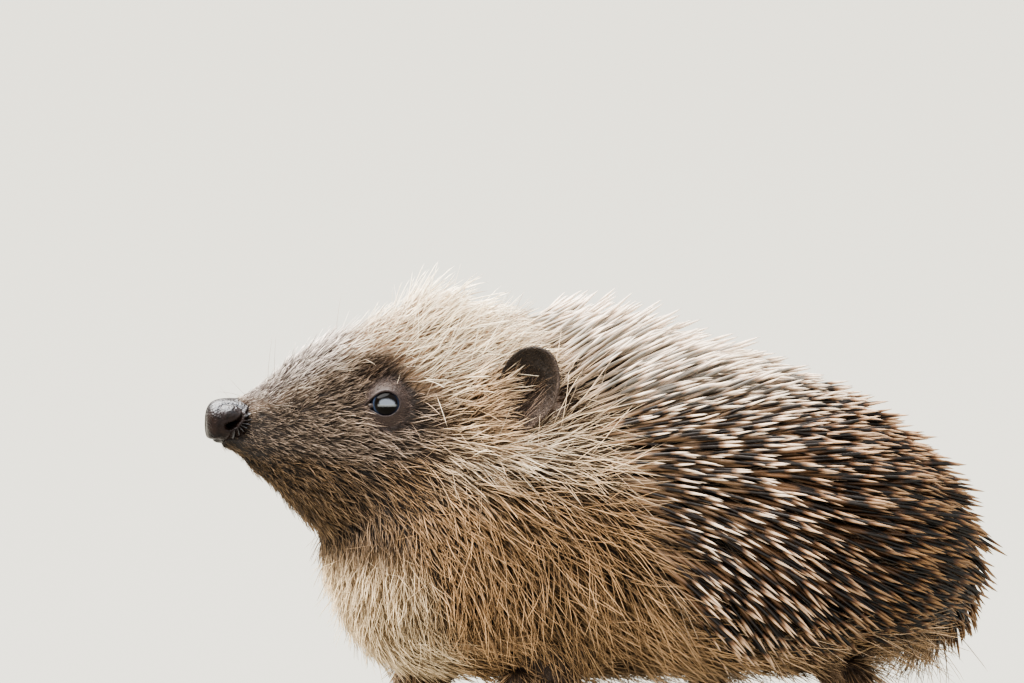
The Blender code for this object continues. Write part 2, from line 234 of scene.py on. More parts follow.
def pellet(name, radii, turn, place):
    """An ellipsoid with its radii in millimetres."""
    bm = bmesh.new()
    bmesh.ops.create_uvsphere(bm, u_segments=20, v_segments=12, radius=1)
    bmesh.ops.scale(bm, vec=Vector(radii) * MM, verts=bm.verts)
    bmesh.ops.rotate(bm, matrix=turn, verts=bm.verts)
    bmesh.ops.translate(bm, vec=place, verts=bm.verts)
    return object_from(name, bm)


def triangles(obj):
    return sum(len(face.vertices) - 2 for face in obj.data.polygons)


# %% [markdown]
# A foot is a flat palm with five toes that fan out, each with a small pad and a blunt claw. The toes and
# the palm could be modelled as one cage, but overlapping tapered tubes are simpler, because the voxel
# remesh that makes the skin melts them together. The claws are horn and stay pieces of their own.


# %% Tapered tubes
def tube(path, radii, sides=12, flat=1.0, caps=3):
    """A bmesh tube along a path, with a radius at each point and rounded ends."""
    bm = bmesh.new()
    rings = []
    last = len(path) - 1
    turns = [k * math.pi / 2 / caps for k in range(1, caps)]
    stations = [(0, math.sin(turn), -math.cos(turn)) for turn in turns]
    stations += [(i, 1.0, 0.0) for i in range(last + 1)]
    stations += [(last, math.cos(turn), math.sin(turn)) for turn in turns]
    for i, share, past in stations:
        along = (path[min(i + 1, last)] - path[max(i - 1, 0)]).normalized()
        aside = UP if abs(along.z) < 0.97 else Vector((1, 0, 0))
        across = along.cross(aside).normalized()
        over = across.cross(along)
        centre = path[i] + along * (past * radii[i])
        ring = []
        for k in range(sides):
            angle = math.tau * k / sides
            offset = across * math.cos(angle) + over * (math.sin(angle) * flat)
            ring.append(bm.verts.new(centre + offset * (radii[i] * share)))
        rings.append(ring)
    loft(bm, rings)
    first_along = (path[0] - path[1]).normalized()
    last_along = (path[-1] - path[-2]).normalized()
    fan(bm, rings[0], bm.verts.new(path[0] + first_along * radii[0]))
    fan(bm, rings[-1], bm.verts.new(path[-1] + last_along * radii[-1]))
    return bm


def smooth_path(points, count):
    """A rounded path of count points through a few."""
    spots = np.array([point[:] for point in points])
    spots = np.vstack([2 * spots[0] - spots[1], spots, 2 * spots[-1] - spots[-2]])
    found = []
    for place in np.linspace(0, len(points) - 1, count):
        i = min(int(place), len(points) - 2)
        t = place - i
        before, a, b, after = spots[i : i + 4]
        curve = 2 * a + (b - before) * t + (2 * before - 5 * a + 4 * b - after) * t**2
        found.append(Vector(0.5 * (curve + (3 * a - before - 3 * b + after) * t**3)))
    return found


# %% Feet and claws
PALM_HEIGHT = 2.4  # these and the sizes below are in millimetres
PALM_RADII = (3.6, 4.3, 5.2)
SHIN_RADII = (4.2, 3.0)
CLAW_RADII = (0.66, 0.12)
HEEL_IN = 4.3  # how far in from the back of its box a foot's heel is
CUT = 0.2  # points this little above a leg's lowest one belong to the face where the foot joins it
FEET = {
    "forefoot": dict(length=18, width=12, toe=1.4, toes=(5.4, 7.8, 8.6, 7.8, 5.6), swing=-0.10),
    "hindfoot": dict(length=29, width=12, toe=1.45, toes=(6.2, 9.0, 9.8, 8.8, 5.8), swing=0.16),
}
claw_tubes = []
flesh_tubes = []


def toe(root, direction, length, radius):
    """One toe with its claw, which leaves the toe's end level and then bends down."""
    knuckle = root + direction * (length * 0.5 * MM) + UP * (0.7 * MM)
    tip = root + direction * (length * MM) - UP * (radius * 0.45)
    taper = [radius * (1 - 0.12 * t / 8 + 0.08 * math.sin(math.pi * t / 4)) for t in range(9)]
    flesh_tubes.append(tube(smooth_path([root, knuckle, tip], 9), taper, 14))
    claw_root = tip - direction * (1.6 * MM) + UP * (0.45 * MM)
    bend = [
        claw_root,
        claw_root + direction * (2.9 * MM) + UP * (0.45 * MM),
        claw_root + direction * (6.1 * MM) - UP * (0.85 * MM),
    ]
    taper = [mix(*CLAW_RADII, (t / 11) ** 1.6) * MM for t in range(12)]
    claw_tubes.append(tube(smooth_path(bend, 12), taper, 12, 1.15))


def foot(name, side, size):
    """The palm, the shin's end and five toes, from the heel at the back of the foot's box.

    side is -1 on the left, because the animal looks along -x and its left is towards -y.
    """
    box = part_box(name)
    ahead = Vector((-1, size["swing"] * side, 0)).normalized()
    across = UP.cross(ahead)
    leg = name.replace("foot", "leg")
    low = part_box(leg)[0].z + CUT * MM
    rim = [v.co for v in frame["nodes"][leg].data.vertices if v.co.z < low]
    shin = sum(rim, Vector()) / len(rim)
    heel = Vector((box[1].x - HEEL_IN * MM, 0, 0))
    heel.y = shin.y + (heel.x - shin.x) / ahead.x * ahead.y
    level = UP * (PALM_HEIGHT * MM)
    palm = [heel + ahead * (size["length"] * MM * share) + level for share in (0.0, 0.3, 0.56)]
    flesh_tubes.append(tube(palm, [radius * MM for radius in PALM_RADII], 20, 0.48))
    ankle = [shin + UP * (5 * MM), heel + ahead * (3 * MM) + UP * (4 * MM)]
    flesh_tubes.append(tube(ankle, [radius * MM for radius in SHIN_RADII], 18))
    radius = size["toe"] * MM
    for i, length in enumerate(size["toes"]):
        place = (i - 2) / 2
        direction = (ahead + across * (place * 0.66)).normalized()
        root = heel + ahead * (size["length"] * 0.57 * MM) + across * (place * size["width"] * 0.44 * MM)
        toe(root + UP * (radius * 1.5), direction, length, radius)


for kind, size in FEET.items():
    for side, word in ((-1, "left"), (1, "right")):
        foot(f"{kind}_{word}", side, size)
feet = [object_from("foot_part", bm) for bm in flesh_tubes]
print("tubes melted into the feet:", len(feet))

# %% [markdown]
# The skin has to be one closed surface with no seam, but the frame is in parts, with thin cuts between
# them. A voxel remesh closes the cuts. It also gives even faces, which is what the next step needs: each
# point sinks along its normal by the coat's depth there, from half a millimetre on the muzzle to eight
# under the spines, in several small steps with a little smoothing between them, so that the surface
# never folds.


# %% The coat's depth, and where the limbs are
SPINE_EDGE = ([-42, -25, -13.5, -4, 5, 12, 17, 20, 24], [92, 81, 75, 71.5, 67, 64, 58, 50, 44])


def spine_edge(heights):
    """How far behind the nose tip the spines begin, at each height: early on the brow, late on the flank."""
    return np.interp(heights, *SPINE_EDGE)


def spiny(points, blur=2.5):
    """1 under the spines and 0 under the hair, with a soft edge of twice blur, in millimetres."""
    back, _, height = face_distances(points)
    z = points[:, 2] / MM
    front = fade(back - spine_edge(height), -blur, blur)
    return front * fade(z, 24 - blur, 24 + blur)


LEG_LEVELS = np.array([8.0, 12.0, 16.0, 20.0, 24.0]) * MM


def limb_axes():
    """The middle of each leg at every one of the levels, along the body and across it."""
    middles = []
    for name in ("foreleg_left", "foreleg_right", "hindleg_left", "hindleg_right"):
        spots = np.array([v.co[:] for v in frame["nodes"][name].data.vertices])
        slices = [spots[np.abs(spots[:, 2] - level) < 3 * MM] for level in LEG_LEVELS]
        middles.append(np.array([(part.min(axis=0) + part.max(axis=0)) / 2 for part in slices]))
    return middles


LIMB_AXES = limb_axes()


def limb(points, top=20):
    """1 on the legs and feet, and 0 from top up, in millimetres above the floor."""
    near = np.zeros(len(points))
    z = points[:, 2]
    for axis in LIMB_AXES:
        ahead, across = (points[:, i] - np.interp(z, LEG_LEVELS, axis[:, i]) for i in (0, 1))
        near = np.maximum(near, fade(np.hypot(ahead, across) / MM, 12, 8.5) * fade(z / MM, top, top - 7))
    return np.maximum(near, fade(z / MM, 10.5, 9))


def coat_depth(points):
    """How deep the skin lies under the coat's outline, in millimetres."""
    back, _, height = face_distances(points)
    z = points[:, 2] / MM
    depth = np.interp(back, [0, 8, 22, 32, 42, 55, 70], [0.4, 0.5, 0.8, 1.3, 2.4, 3.8, 5.2])
    brow = fade(height, 8, 16) * fade(back, 16, 34) * fade(back, 62, 50)
    depth = depth + 1.0 * brow
    depth = mix(depth, np.interp(back, [44, 62, 90], [4.6, 6.2, 8.0]), spiny(points, 8.0))
    underside = fade(z, 22, 15) * fade(back, 40, 60)
    depth = mix(depth, 4.0, underside)
    return mix(depth, 1.0, limb(points))


# %% Melting the frame into one skin and sinking it under the coat
BODY_VOXEL = 1.0 * MM
SKIN_VOXEL = 0.68 * MM
FLESH = [
    "head", "lower_jaw", "neck", "trunk", "tail",
    "foreleg_left", "foreleg_right", "hindleg_left", "hindleg_right",
    "forefoot_left", "forefoot_right", "hindfoot_left", "hindfoot_right",
]  # fmt: skip


def ear_plug(side):
    """Flesh that fills the slot where the ear's rim stands in the frame's head."""
    ear = middle("ear_left" if side > 0 else "ear_right")
    place = ear - HEAD_LEFT * (side * 5.0 * MM) + HEAD_AHEAD * (1.0 * MM) - UP * (1.5 * MM)
    return pellet("ear_plug", (8.0, 4.5, 10.0), HEAD_TURN, place)


def sink(obj, rounds):
    """Moves the skin in by the coat's depth, a share in each round."""
    points = read_points(obj.data)
    goal = coat_depth(points) * MM
    softness = 1 - 0.8 * limb(points)
    for _ in range(rounds):
        points = read_points(obj.data) - read_normals(obj.data) * (goal / rounds)[:, None]
        write_points(obj.data, points)
        soften(obj, softness, 5)
    return obj


# Flesh under the nose pad, where the upper lip reaches forward.
front_lip = pellet("front_lip", (3.5, 3.4, 2.05), HEAD_TURN, face_place(5.2, 0, -3.6))
body_nodes = [frame["nodes"][name] for name in FLESH if "foot" not in name]
fillers = [frame["nodes"][name] for name in ("nose", "eye_left", "eye_right")]
body = joined("body", [*body_nodes, *fillers, ear_plug(1), ear_plug(-1), front_lip])
applied(body, "REMESH", mode="VOXEL", voxel_size=BODY_VOXEL)
applied(body, "SMOOTH", factor=0.5, iterations=3)
closed_outline = bmesh.new()
closed_outline.from_mesh(body.data)
OUTLINE = BVHTree.FromBMesh(closed_outline)
closed_outline.free()
applied(body, "SMOOTH", factor=0.5, iterations=11)
sink(body, 6)
skin = joined("skin", [body, *feet])
applied(skin, "REMESH", mode="VOXEL", voxel_size=SKIN_VOXEL)
applied(skin, "SMOOTH", factor=0.5, iterations=3)
print("skin:", triangles(skin), "triangles")


# %% Giving the face its true size again
def hold_depth(obj):
    """Moves the face's points, which smoothing has shrunk, back to the coat's depth under the outline."""
    points, normals = read_points(obj.data), read_normals(obj.data)
    share = fade(face_distances(points)[0], 50, 36) * (points[:, 2] > 30 * MM)
    depth = coat_depth(points) * MM
    moved = points.copy()
    for index in np.nonzero(share > 0.01)[0]:
        outward = Vector(normals[index])
        hit = OUTLINE.ray_cast(Vector(points[index]) + outward * 5 * MM, -outward, 9 * MM)[0]
        if hit is not None:
            moved[index] = mix(points[index], np.array(hit - outward * depth[index]), share[index])
    write_points(obj.data, moved)


def mouth_line(back):
    """The height of the line between the lips, which falls towards the cheek."""
    return -6.0 - 0.47 * (back - 6.0)


def raise_jaw(points):
    """The fur of the jaw hangs down from it, so the skin lies higher there."""
    back, _, height = face_distances(points)
    below_lips = fade(height - mouth_line(back), -1.0, -5.0)
    share = below_lips * fade(back, 5, 11) * fade(back, 36, 26)
    return points + share[:, None] * np.array(UP) * (1.9 * MM)


hold_depth(skin)
write_points(skin.data, raise_jaw(read_points(skin.data)))
soften(skin, face_distances(read_points(skin.data))[0] < 55, 4)

# %% [markdown]
# The voxels that suit a whole body are too coarse for a face, where an eyelid is half a millimetre thick.
# Rather than make all of the skin finer, only the faces round the eyes, along the lips and on the paws are
# divided again. The lids then come from a rule: round each eye the skin rises onto a dome that wraps the
# eyeball, and inside the opening it drops out of sight behind it. A thin rolled rim closes the edge.


# %% Finer faces where the detail is
EYE_RADIUS = 3.6  # these are in millimetres
LID_DOME = 3.98
DOME_EDGE = 3.0  # how far from the eye's axis the dome of the lids runs out into the face
OPENING = (2.72, 2.46)  # half its width and half its height
CORNER_REACH = 4.1  # from the eye's axis to the corner of the lids, at most
TANGENT = math.radians(52)  # where the round part of the opening turns into the straight lines to its corner


def refine(obj, wanted, cuts):
    """Divides the faces whose corners are all wanted."""
    bm = bmesh.new()
    bm.from_mesh(obj.data)
    bm.verts.ensure_lookup_table()
    faces = [face for face in bm.faces if all(wanted[vert.index] for vert in face.verts)]
    edges = list({edge for face in faces for edge in face.edges})
    bmesh.ops.subdivide_edges(bm, edges=edges, cuts=cuts, use_grid_fill=True)
    bmesh.ops.triangulate(bm, faces=[face for face in bm.faces if len(face.verts) > 4])
    bm.to_mesh(obj.data)
    bm.free()
    obj.data.shade_smooth()


def eye_axes(side):
    """The eyeball's centre, the way it looks, the way to the nose along the lids, and across the lids."""
    out = (HEAD_LEFT * (side * 0.94) + HEAD_AHEAD * 0.28 + UP * 0.10).normalized()
    centre = (EYE_LEFT if side > 0 else EYE_RIGHT) - HEAD_AHEAD * (0.5 * MM) - out * (0.4 * MM)
    nosewards = (HEAD_AHEAD - out * HEAD_AHEAD.dot(out)).normalized()
    nosewards = (nosewards - UP * 0.06).normalized()
    lidwards = out.cross(nosewards) * -side
    if lidwards.z < 0:
        lidwards = -lidwards
    return centre, out, nosewards, lidwards


def opening_reach(angle):
    """How far from the eye's axis the lids' edge is, in each direction round it. 0 is towards the nose."""
    turn = np.abs((angle + math.pi) % math.tau - math.pi)
    round_part = 1 / np.hypot(np.cos(angle) / OPENING[0], np.sin(angle) / OPENING[1])
    return np.minimum(round_part / np.cos(np.maximum(TANGENT - turn, 0)), CORNER_REACH)


def lid_height(reach):
    """How far out from the eyeball's centre the lid's dome stands, at a distance from the axis."""
    dome = np.sqrt(np.maximum(LID_DOME**2 - np.minimum(reach, DOME_EDGE) ** 2, 0))
    return dome - 0.85 * np.maximum(reach - DOME_EDGE, 0)


points = read_points(skin.data)
near_eye = np.zeros(len(points), bool)
for centre in (EYE_LEFT, EYE_RIGHT):
    near_eye |= far_from(points, centre) < 7.0
refine(skin, near_eye, 2)
back, _, height = face_distances(read_points(skin.data))
muzzle = (back < 24) & (back > 4)
refine(skin, muzzle & (np.abs(height - mouth_line(back)) < 2.6), 1)
refine(skin, read_points(skin.data)[:, 2] < 9.5 * MM, 1)
points = read_points(skin.data)
soften(skin, np.maximum(fade(face_distances(points)[0], 27, 24), fade(points[:, 2] / MM, 10, 8.5)), 4)
print("skin after refining:", triangles(skin), "triangles")


# %% Eyelids and the line of the mouth
def shape_lids(points, side):
    """Raises the lids round one eye and sinks the skin behind its opening."""
    centre, out, nosewards, lidwards = eye_axes(side)
    x, y, z = distances(points, centre, nosewards, lidwards, out)
    reach = np.hypot(x, y)
    outside = reach - opening_reach(np.arctan2(y, x))
    creases = 0.07 * np.sin((reach - 2.4) * 5.2) * fade(outside, 0.3, 0.9) * fade(outside, 2.8, 1.4)
    lid = lid_height(reach) + creases
    lid = mix(np.full(len(z), 1.0), lid, fade(outside, -0.35, -0.02))
    share = fade(reach, 5.4, 3.1) * (z > -1.5)
    new_z = mix(z, lid, share)
    return points + (new_z - z)[:, None] * np.array(out) * MM


def tuck_behind_nose(points):
    """Draws the front end of the skin into the nose pad, which covers it."""
    back = face_distances(points)[0]
    offset = points - np.array(middle("nose"))
    far = np.linalg.norm(offset, axis=1)
    near = np.minimum(far, 2.1 * MM)
    # The fur reaches further forward above and below the pad than at its sides.
    tilt = offset[:, 2] / np.maximum(far, 1e-9)
    edge = 9.0 - 3.8 * fade(tilt, 0.5, 0.9) - 6.2 * fade(tilt, -0.45, -0.85)
    share = fade(back, edge + 0.9, edge - 0.9) * (far < 9 * MM)
    return points - offset * (share * (1 - near / np.maximum(far, 1e-9)))[:, None]


def press_mouth(points, normals):
    """A shallow groove along the lips, from under the nose to below the eye, with a fuller upper lip."""
    back, side, height = face_distances(points)
    from_line = height - mouth_line(back)
    along = fade(back, 4, 7) * fade(back, 25, 19) * (np.abs(side) > 0.5)
    groove = -0.55 * np.exp(-((from_line / 0.42) ** 2))
    lip = 0.32 * np.exp(-(((from_line - 1.3) / 0.9) ** 2))
    return points + normals * ((groove + lip) * along * MM)[:, None]


SOLE_HEIGHT = 0.02 * MM  # the feet are pressed flat just above the floor
points = read_points(skin.data)
for side in (1, -1):
    points = shape_lids(points, side)
points = press_mouth(points, read_normals(skin.data))
points = tuck_behind_nose(points)
points[:, 2] = np.maximum(points[:, 2], SOLE_HEIGHT)
write_points(skin.data, points)


def lid_rim(side):
    """The rolled, hairless edge of the lids: a thin closed tube round the opening."""
    centre, out, nosewards, lidwards = eye_axes(side)
    bm = bmesh.new()
    rings = []
    steps, sides = 96, 12
    for i in range(steps):
        angle = math.tau * i / steps
        reach = float(opening_reach(angle))
        upper = 0.5 + 0.5 * math.sin(angle)
        thick = mix(0.17, 0.29, upper) * (1 - 0.35 * max(math.cos(angle), 0) ** 4)
        outwards = nosewards * math.cos(angle) + lidwards * math.sin(angle)
        spot = centre + outwards * (reach * MM) + out * ((float(lid_height(reach)) - 0.16) * MM)
        ring = []
        for k in range(sides):
            turn = math.tau * k / sides
            offset = out * math.sin(turn) - outwards * math.cos(turn)
            ring.append(bm.verts.new(spot + offset * (thick * MM)))
        rings.append(ring)
    loft(bm, [*rings, rings[0]])
    return object_from("lid_edge", bm)


def eye_corner(side):
    """The small moist swelling in the corner of the eye."""
    centre, out, nosewards, lidwards = eye_axes(side)
    turn = Matrix((nosewards, out.cross(nosewards), out)).transposed()
    place = centre + (nosewards * 2.95 + out * 2.35 - lidwards * 0.12) * MM
    return pellet("eye_corner", (0.62, 0.42, 0.35), turn, place)


lids = [joined("lid_rim_" + word, [lid_rim(side), eye_corner(side)]) for side, word in SIDES]

# %% [markdown]
# The eyeball is nearly all pupil, so what makes it an eye is its wet gloss, the slightly steeper bulge of
# the cornea, and the faint blue-grey ring where the cornea ends. The ring's colour comes from an attribute
# that holds each point's angle from the middle of the pupil.


# %% Eyeballs
def eyeball(side, word):
    """A ball with a bulging cornea, which stores the angle from its pupil and where it mirrors the sky."""
    centre, out, nosewards, _ = eye_axes(side)
    bm = bmesh.new()
    bmesh.ops.create_uvsphere(bm, u_segments=64, v_segments=48, radius=EYE_RADIUS * MM)
    turn = Matrix((nosewards, out.cross(nosewards), out)).transposed()
    made = object_from("eye_ball_" + word, bm)
    points = read_points(made.data)
    angle = np.arccos(np.clip(points[:, 2] / (EYE_RADIUS * MM), -1, 1))
    bulge = 1 + 0.055 * fade(angle, 0.85, 0.25)
    write_points(made.data, points * bulge[:, None] @ np.array(turn).T + np.array(centre))
    way = (read_points(made.data) - np.array(centre)) / (EYE_RADIUS * MM)
    level, aside = way[:, 2] + 0.04, way @ np.array(nosewards) + 0.06
    store(made.data, "from_pupil", angle)
    # The sky is mirrored only above the horizon, and only in the middle of the eye.
    sky = fade(level, -0.05, 0.01) * fade(np.hypot(level / 0.4, aside / 0.5), 1.06, 0.86)
    store(made.data, "shine", sky)
    return made


eyes = [eyeball(side, word) for side, word in SIDES]

# %% [markdown]
# The nose pad is a wet, rounded block with a nostril on each side. Each nostril is a comma: round and deep in
# front and below, narrower where it curls up behind. A soft flap hangs over it, its lower lip is raised,
# and short ridges fan out from that lip like a fringe. A ball with many faces can take all of that, since
# every feature is a small rule on the distance, in millimetres, from the comma's edge.

# %% Nose pad
NOSE_RADII = (4.9, 4.5, 4.5)
# Along the comma: forward of the pad's middle, above it, and the opening's half width there.
COMMA = [(0.62, -0.72, 0.74), (-0.1, -0.4, 0.58), (-1.1, 0.45, 0.26), (-1.6, 1.4, 0.1)]


def comma_distance(x, y):
    """How far outside the nostril's edge each point is."""
    nearest = np.full(x.shape, 99.0)
    for (x0, y0, r0), (x1, y1, r1) in zip(COMMA, COMMA[1:]):
        run, rise = x1 - x0, y1 - y0
        t = np.clip(((x - x0) * run + (y - y0) * rise) / (run * run + rise * rise), 0, 1)
        nearest = np.minimum(nearest, np.hypot(x - x0 - run * t, y - y0 - rise * t) - mix(r0, r1, t))
    return nearest


def nostril(x, y):
    """The rise and fall of the pad's side round a nostril, how deep in it a point is, and its fringe."""
    edge = comma_distance(x, y)
    around = np.arctan2(y - 0.1, x + 0.5)
    behind = fade(np.cos(around + math.radians(150)), -0.1, 0.5)
    flap = np.hypot(x - 0.3, (y - 1.9) / 0.8)
    lip = np.exp(-(((edge - 0.28) / 0.26) ** 2))
    fringe = np.cos(around * 17) * fade(edge, 0.25, 0.6) * fade(edge, 2.1, 1.4) * behind
    rise = 0.36 * lip * (0.25 + 0.75 * behind) + 0.4 * fringe
    rise += 0.5 * np.exp(-((flap / 1.35) ** 2)) * fade(edge, -0.1, 0.25)
    rise -= 0.22 * np.exp(-(((flap - 2.0) / 0.22) ** 2)) * fade(y, 0.6, 1.6)
    rise -= 0.26 * np.exp(-(((edge - 1.95) / 0.28) ** 2)) * behind
    return rise - 2.3 * fade(edge, 0.12, -0.5), fade(edge, 0.02, -0.35), fringe


def nose_pad():
    """The pad with its nostrils, step, groove and full sides, in its place on the snout."""
    bm = bmesh.new()
    bmesh.ops.create_uvsphere(bm, u_segments=176, v_segments=112, radius=1)
    made = object_from("nose_pad", bm)
    way = read_points(made.data)
    ahead, aside, up = way[:, 0], way[:, 1], way[:, 2]
    move = -0.3 * fade(ahead, 0.6, 1.0) - 0.35 * fade(up, -0.5, -0.95) * fade(ahead, -0.2, 0.4)
    # Low in front a small step sets the pad off from the lip.
    move -= 0.45 * np.exp(-(((up + 0.74) / 0.07) ** 2)) * fade(ahead, 0.35, 0.6)
    rise, inside, fringe = nostril(ahead * NOSE_RADII[0], up * NOSE_RADII[2])
    flank = fade(np.abs(aside), 0.25, 0.5)
    move += rise * flank
    # hole marks the inside of a nostril, where the finish paints shade.
    store(made.data, "hole", inside * flank)
    store(made.data, "wet", np.maximum(fade(up, 0.15, 0.8), 0.9 * fade(fringe, 0.0, 0.6) * flank))
    move -= 0.42 * np.exp(-((aside / 0.055) ** 2)) * fade(ahead, 0.1, 0.45) * fade(up, 0.75, 0.25)
    # Fuller than an ellipsoid, above all behind, where the fur closes round it.
    power = mix(mix(2.7, 3.3, fade(up, 0.2, -0.5)), 3.6, fade(ahead, 0.1, -0.1))
    across = np.hypot(aside, up)
    fuller = (np.abs(ahead) ** power + across**power) ** (-1 / power)
    shaped = way * (np.array(NOSE_RADII) * fuller[:, None] + move[:, None]) * MM
    shaped[:, 0] *= np.where(ahead < 0, 1.15, 1.0)
    centre = NOSE_TIP - HEAD_AHEAD * NOSE_PAD_DEPTH
    write_points(made.data, shaped @ np.array(HEAD_TURN).T + np.array(centre))
    return made


nose = nose_pad()

# %% [markdown]
# An ear is a round, thin-walled cup that looks outwards and ahead. Its rear and upper edge stand free of the
# coat, and its front edge is lost in the hair of the temple. It is one shell, made as rings: out along the
# bowl's inside from the ear hole to the rim, over the rim, and back along the outside to a buried foot.


# %% Ears
EAR_TALL, EAR_WIDE, EAR_BOWL = 9.0, 6.3, 2.9
EAR_HOLE = (-1.6, -2.2)  # rearwards and upwards from the middle of the mouth
EAR_WALL = (0.36, 1.5)  # at the rim, and at the foot
EAR_HOLLOW = 6.0  # how deep the skin lies behind the ear's mouth
EAR_BACK = 6.5  # how deep behind the mouth the spines may begin


def ear_axes(side):
    """The middle of the ear's mouth, the way it faces, the way to its rear edge, and the way to its top."""
    # On the right, the side to which the head turns, the neck swells up beside it.
    stand_out = 2.2 if side > 0 else 5.6
    middle_place = middle("ear_left" if side > 0 else "ear_right") + HEAD_LEFT * (side * stand_out * MM)
    middle_place = middle_place + HEAD_AHEAD * (0.8 * MM) - UP * (0.7 * MM)
    facing = (HEAD_LEFT * (side * 0.80) + HEAD_AHEAD * 0.58 + UP * 0.08).normalized()
    rear = (HEAD_LEFT * (side * 0.58) - HEAD_AHEAD * 0.80).normalized()
    tall = UP * 0.93 + rear * 0.37
    tall = (tall - facing * tall.dot(facing)).normalized()
    rear = (rear - facing * rear.dot(facing) - tall * rear.dot(tall)).normalized()
    return middle_place, facing, rear, tall


def ear_rim(angle):
    """The rim in the plane of the ear's mouth: rearwards and upwards, in millimetres."""
    across, up = np.cos(angle), np.sin(angle)
    leaf = 1 - 0.4 * fade(up, 0.1, -1.0)
    full = 1 / (np.abs(across) ** 2.3 + np.abs(up) ** 2.3) ** (1 / 2.3)
    wavy = 1 + 0.012 * np.sin(angle * 5 + 0.8)
    return across * full * EAR_WIDE * leaf * wavy, up * full * EAR_TALL * wavy


def ear(side, word):
    """The thin-walled cup of one ear."""
    centre, facing, rear, tall = ear_axes(side)
    sides, inner, outer = 96, 26, 20
    angle = np.linspace(0, math.tau, sides + 1)[:-1]
    rim_x, rim_y = ear_rim(angle)
    bm = bmesh.new()
    # From the hole out to the rim, over the rim, and back in along the outside.
    stations = [(k / inner, 0.0) for k in range(1, inner + 1)] + [(1.0, 0.5)]
    stations += [(1 - k / outer, 1.0) for k in range(outer)]
    rings = []
    for share, outside in stations:
        x, y = mix(EAR_HOLE[0], rim_x, share), mix(EAR_HOLE[1], rim_y, share)
        bowl = EAR_BOWL * (1 - share**2.4) * (1 + 0.25 * np.exp(-((share / 0.3) ** 2)))
        fold = 0.42 * np.exp(-(((share - 0.66) / 0.10) ** 2)) * fade(np.cos(angle - 0.5), -0.3, 0.6)
        curl = 0.5 * fade(share, 0.86, 1.0)
        wall = mix(*EAR_WALL, 1 - share)
        depth = -bowl + fold * (1 - outside) - wall * outside + 0.15 * outside * (1 - outside)
        spread_out = 1 - 0.045 * curl * (1 - outside) + 0.02 * outside
        ring = []
        for k in range(sides):
            place = rear * float(x[k] * spread_out) + tall * float(y[k] * spread_out)
            ring.append(bm.verts.new(centre + (place + facing * float(depth[k])) * MM))
        rings.append(ring)
    loft(bm, rings)
    for ring in (rings[0], rings[-1]):
        fan(bm, ring, bm.verts.new(sum((vert.co for vert in ring), Vector()) / sides))
    made = object_from("ear_cup_" + word, bm)
    applied(made, "SMOOTH", factor=0.5, iterations=2)
    made.data.shade_smooth()
    return made


def ear_share(rear, up):
    """How far from the middle of the ear's mouth to its rim, 1 at the rim."""
    rim_x, rim_y = ear_rim(np.arctan2(up / EAR_TALL, rear / EAR_WIDE))
    return np.hypot(rear, up) / np.hypot(rim_x, rim_y)


def ear_distances(points, side):
    """How far rearwards, upwards and out of the ear's mouth each point is, in millimetres."""
    centre, facing, rear, tall = ear_axes(side)
    return distances(points, centre, rear, tall, facing)


def hollow(points, side):
    """Presses the skin down behind the ear's bowl, so that the bowl stands open."""
    rear, up, out = ear_distances(points, side)
    spread_out = ear_share(rear, up)
    pressed = np.minimum(out, mix(out, -EAR_HOLLOW, fade(spread_out, 1.02, 0.82) * (np.abs(out) < 12)))
    return points + (pressed - out)[:, None] * np.array(ear_axes(side)[1]) * MM


ears = [ear(side, word) for side, word in SIDES]
natural = read_points(skin.data)
pressed = hollow(hollow(natural, 1), -1)
write_points(skin.data, pressed)
store(skin.data, "pressed", np.linalg.norm(pressed - natural, axis=1) / MM)
claws = joined("claws", [object_from("claw", bm) for bm in claw_tubes])

# %% [markdown]
# Skin and coat have to carry the same markings, so the colours are worked out once, on the skin's points,
# and every hair and spine takes them up from the spot where it is rooted. Two colours are stored at
# each point: that of a hair's root, which is also the skin's, and that of its tip.


# %% Markings
def paint(red, green, blue):
    """A colour as seen, 0 to 255, as the linear values that shaders take."""
    share = np.array([red, green, blue]) / 255
    return np.where(share <= 0.04045, share / 12.92, ((share + 0.055) / 1.055) ** 2.4)


def mask_top(back):
    """The height of the upper edge of the face's dark mask."""
    # It rises over the eye, 24 to 36 mm back, partly as painted shade above the eye.
    return np.interp(back, [6, 12, 18, 24, 30, 36, 42, 48], [0.6, 3.0, 6.0, 10.2, 12.5, 9.2, 4.0, -7.0])


def mask_bottom(back):
    return np.interp(back, [6, 20, 30, 40, 48], [-40.0, -26.0, -7.5, -5.0, -8.0])


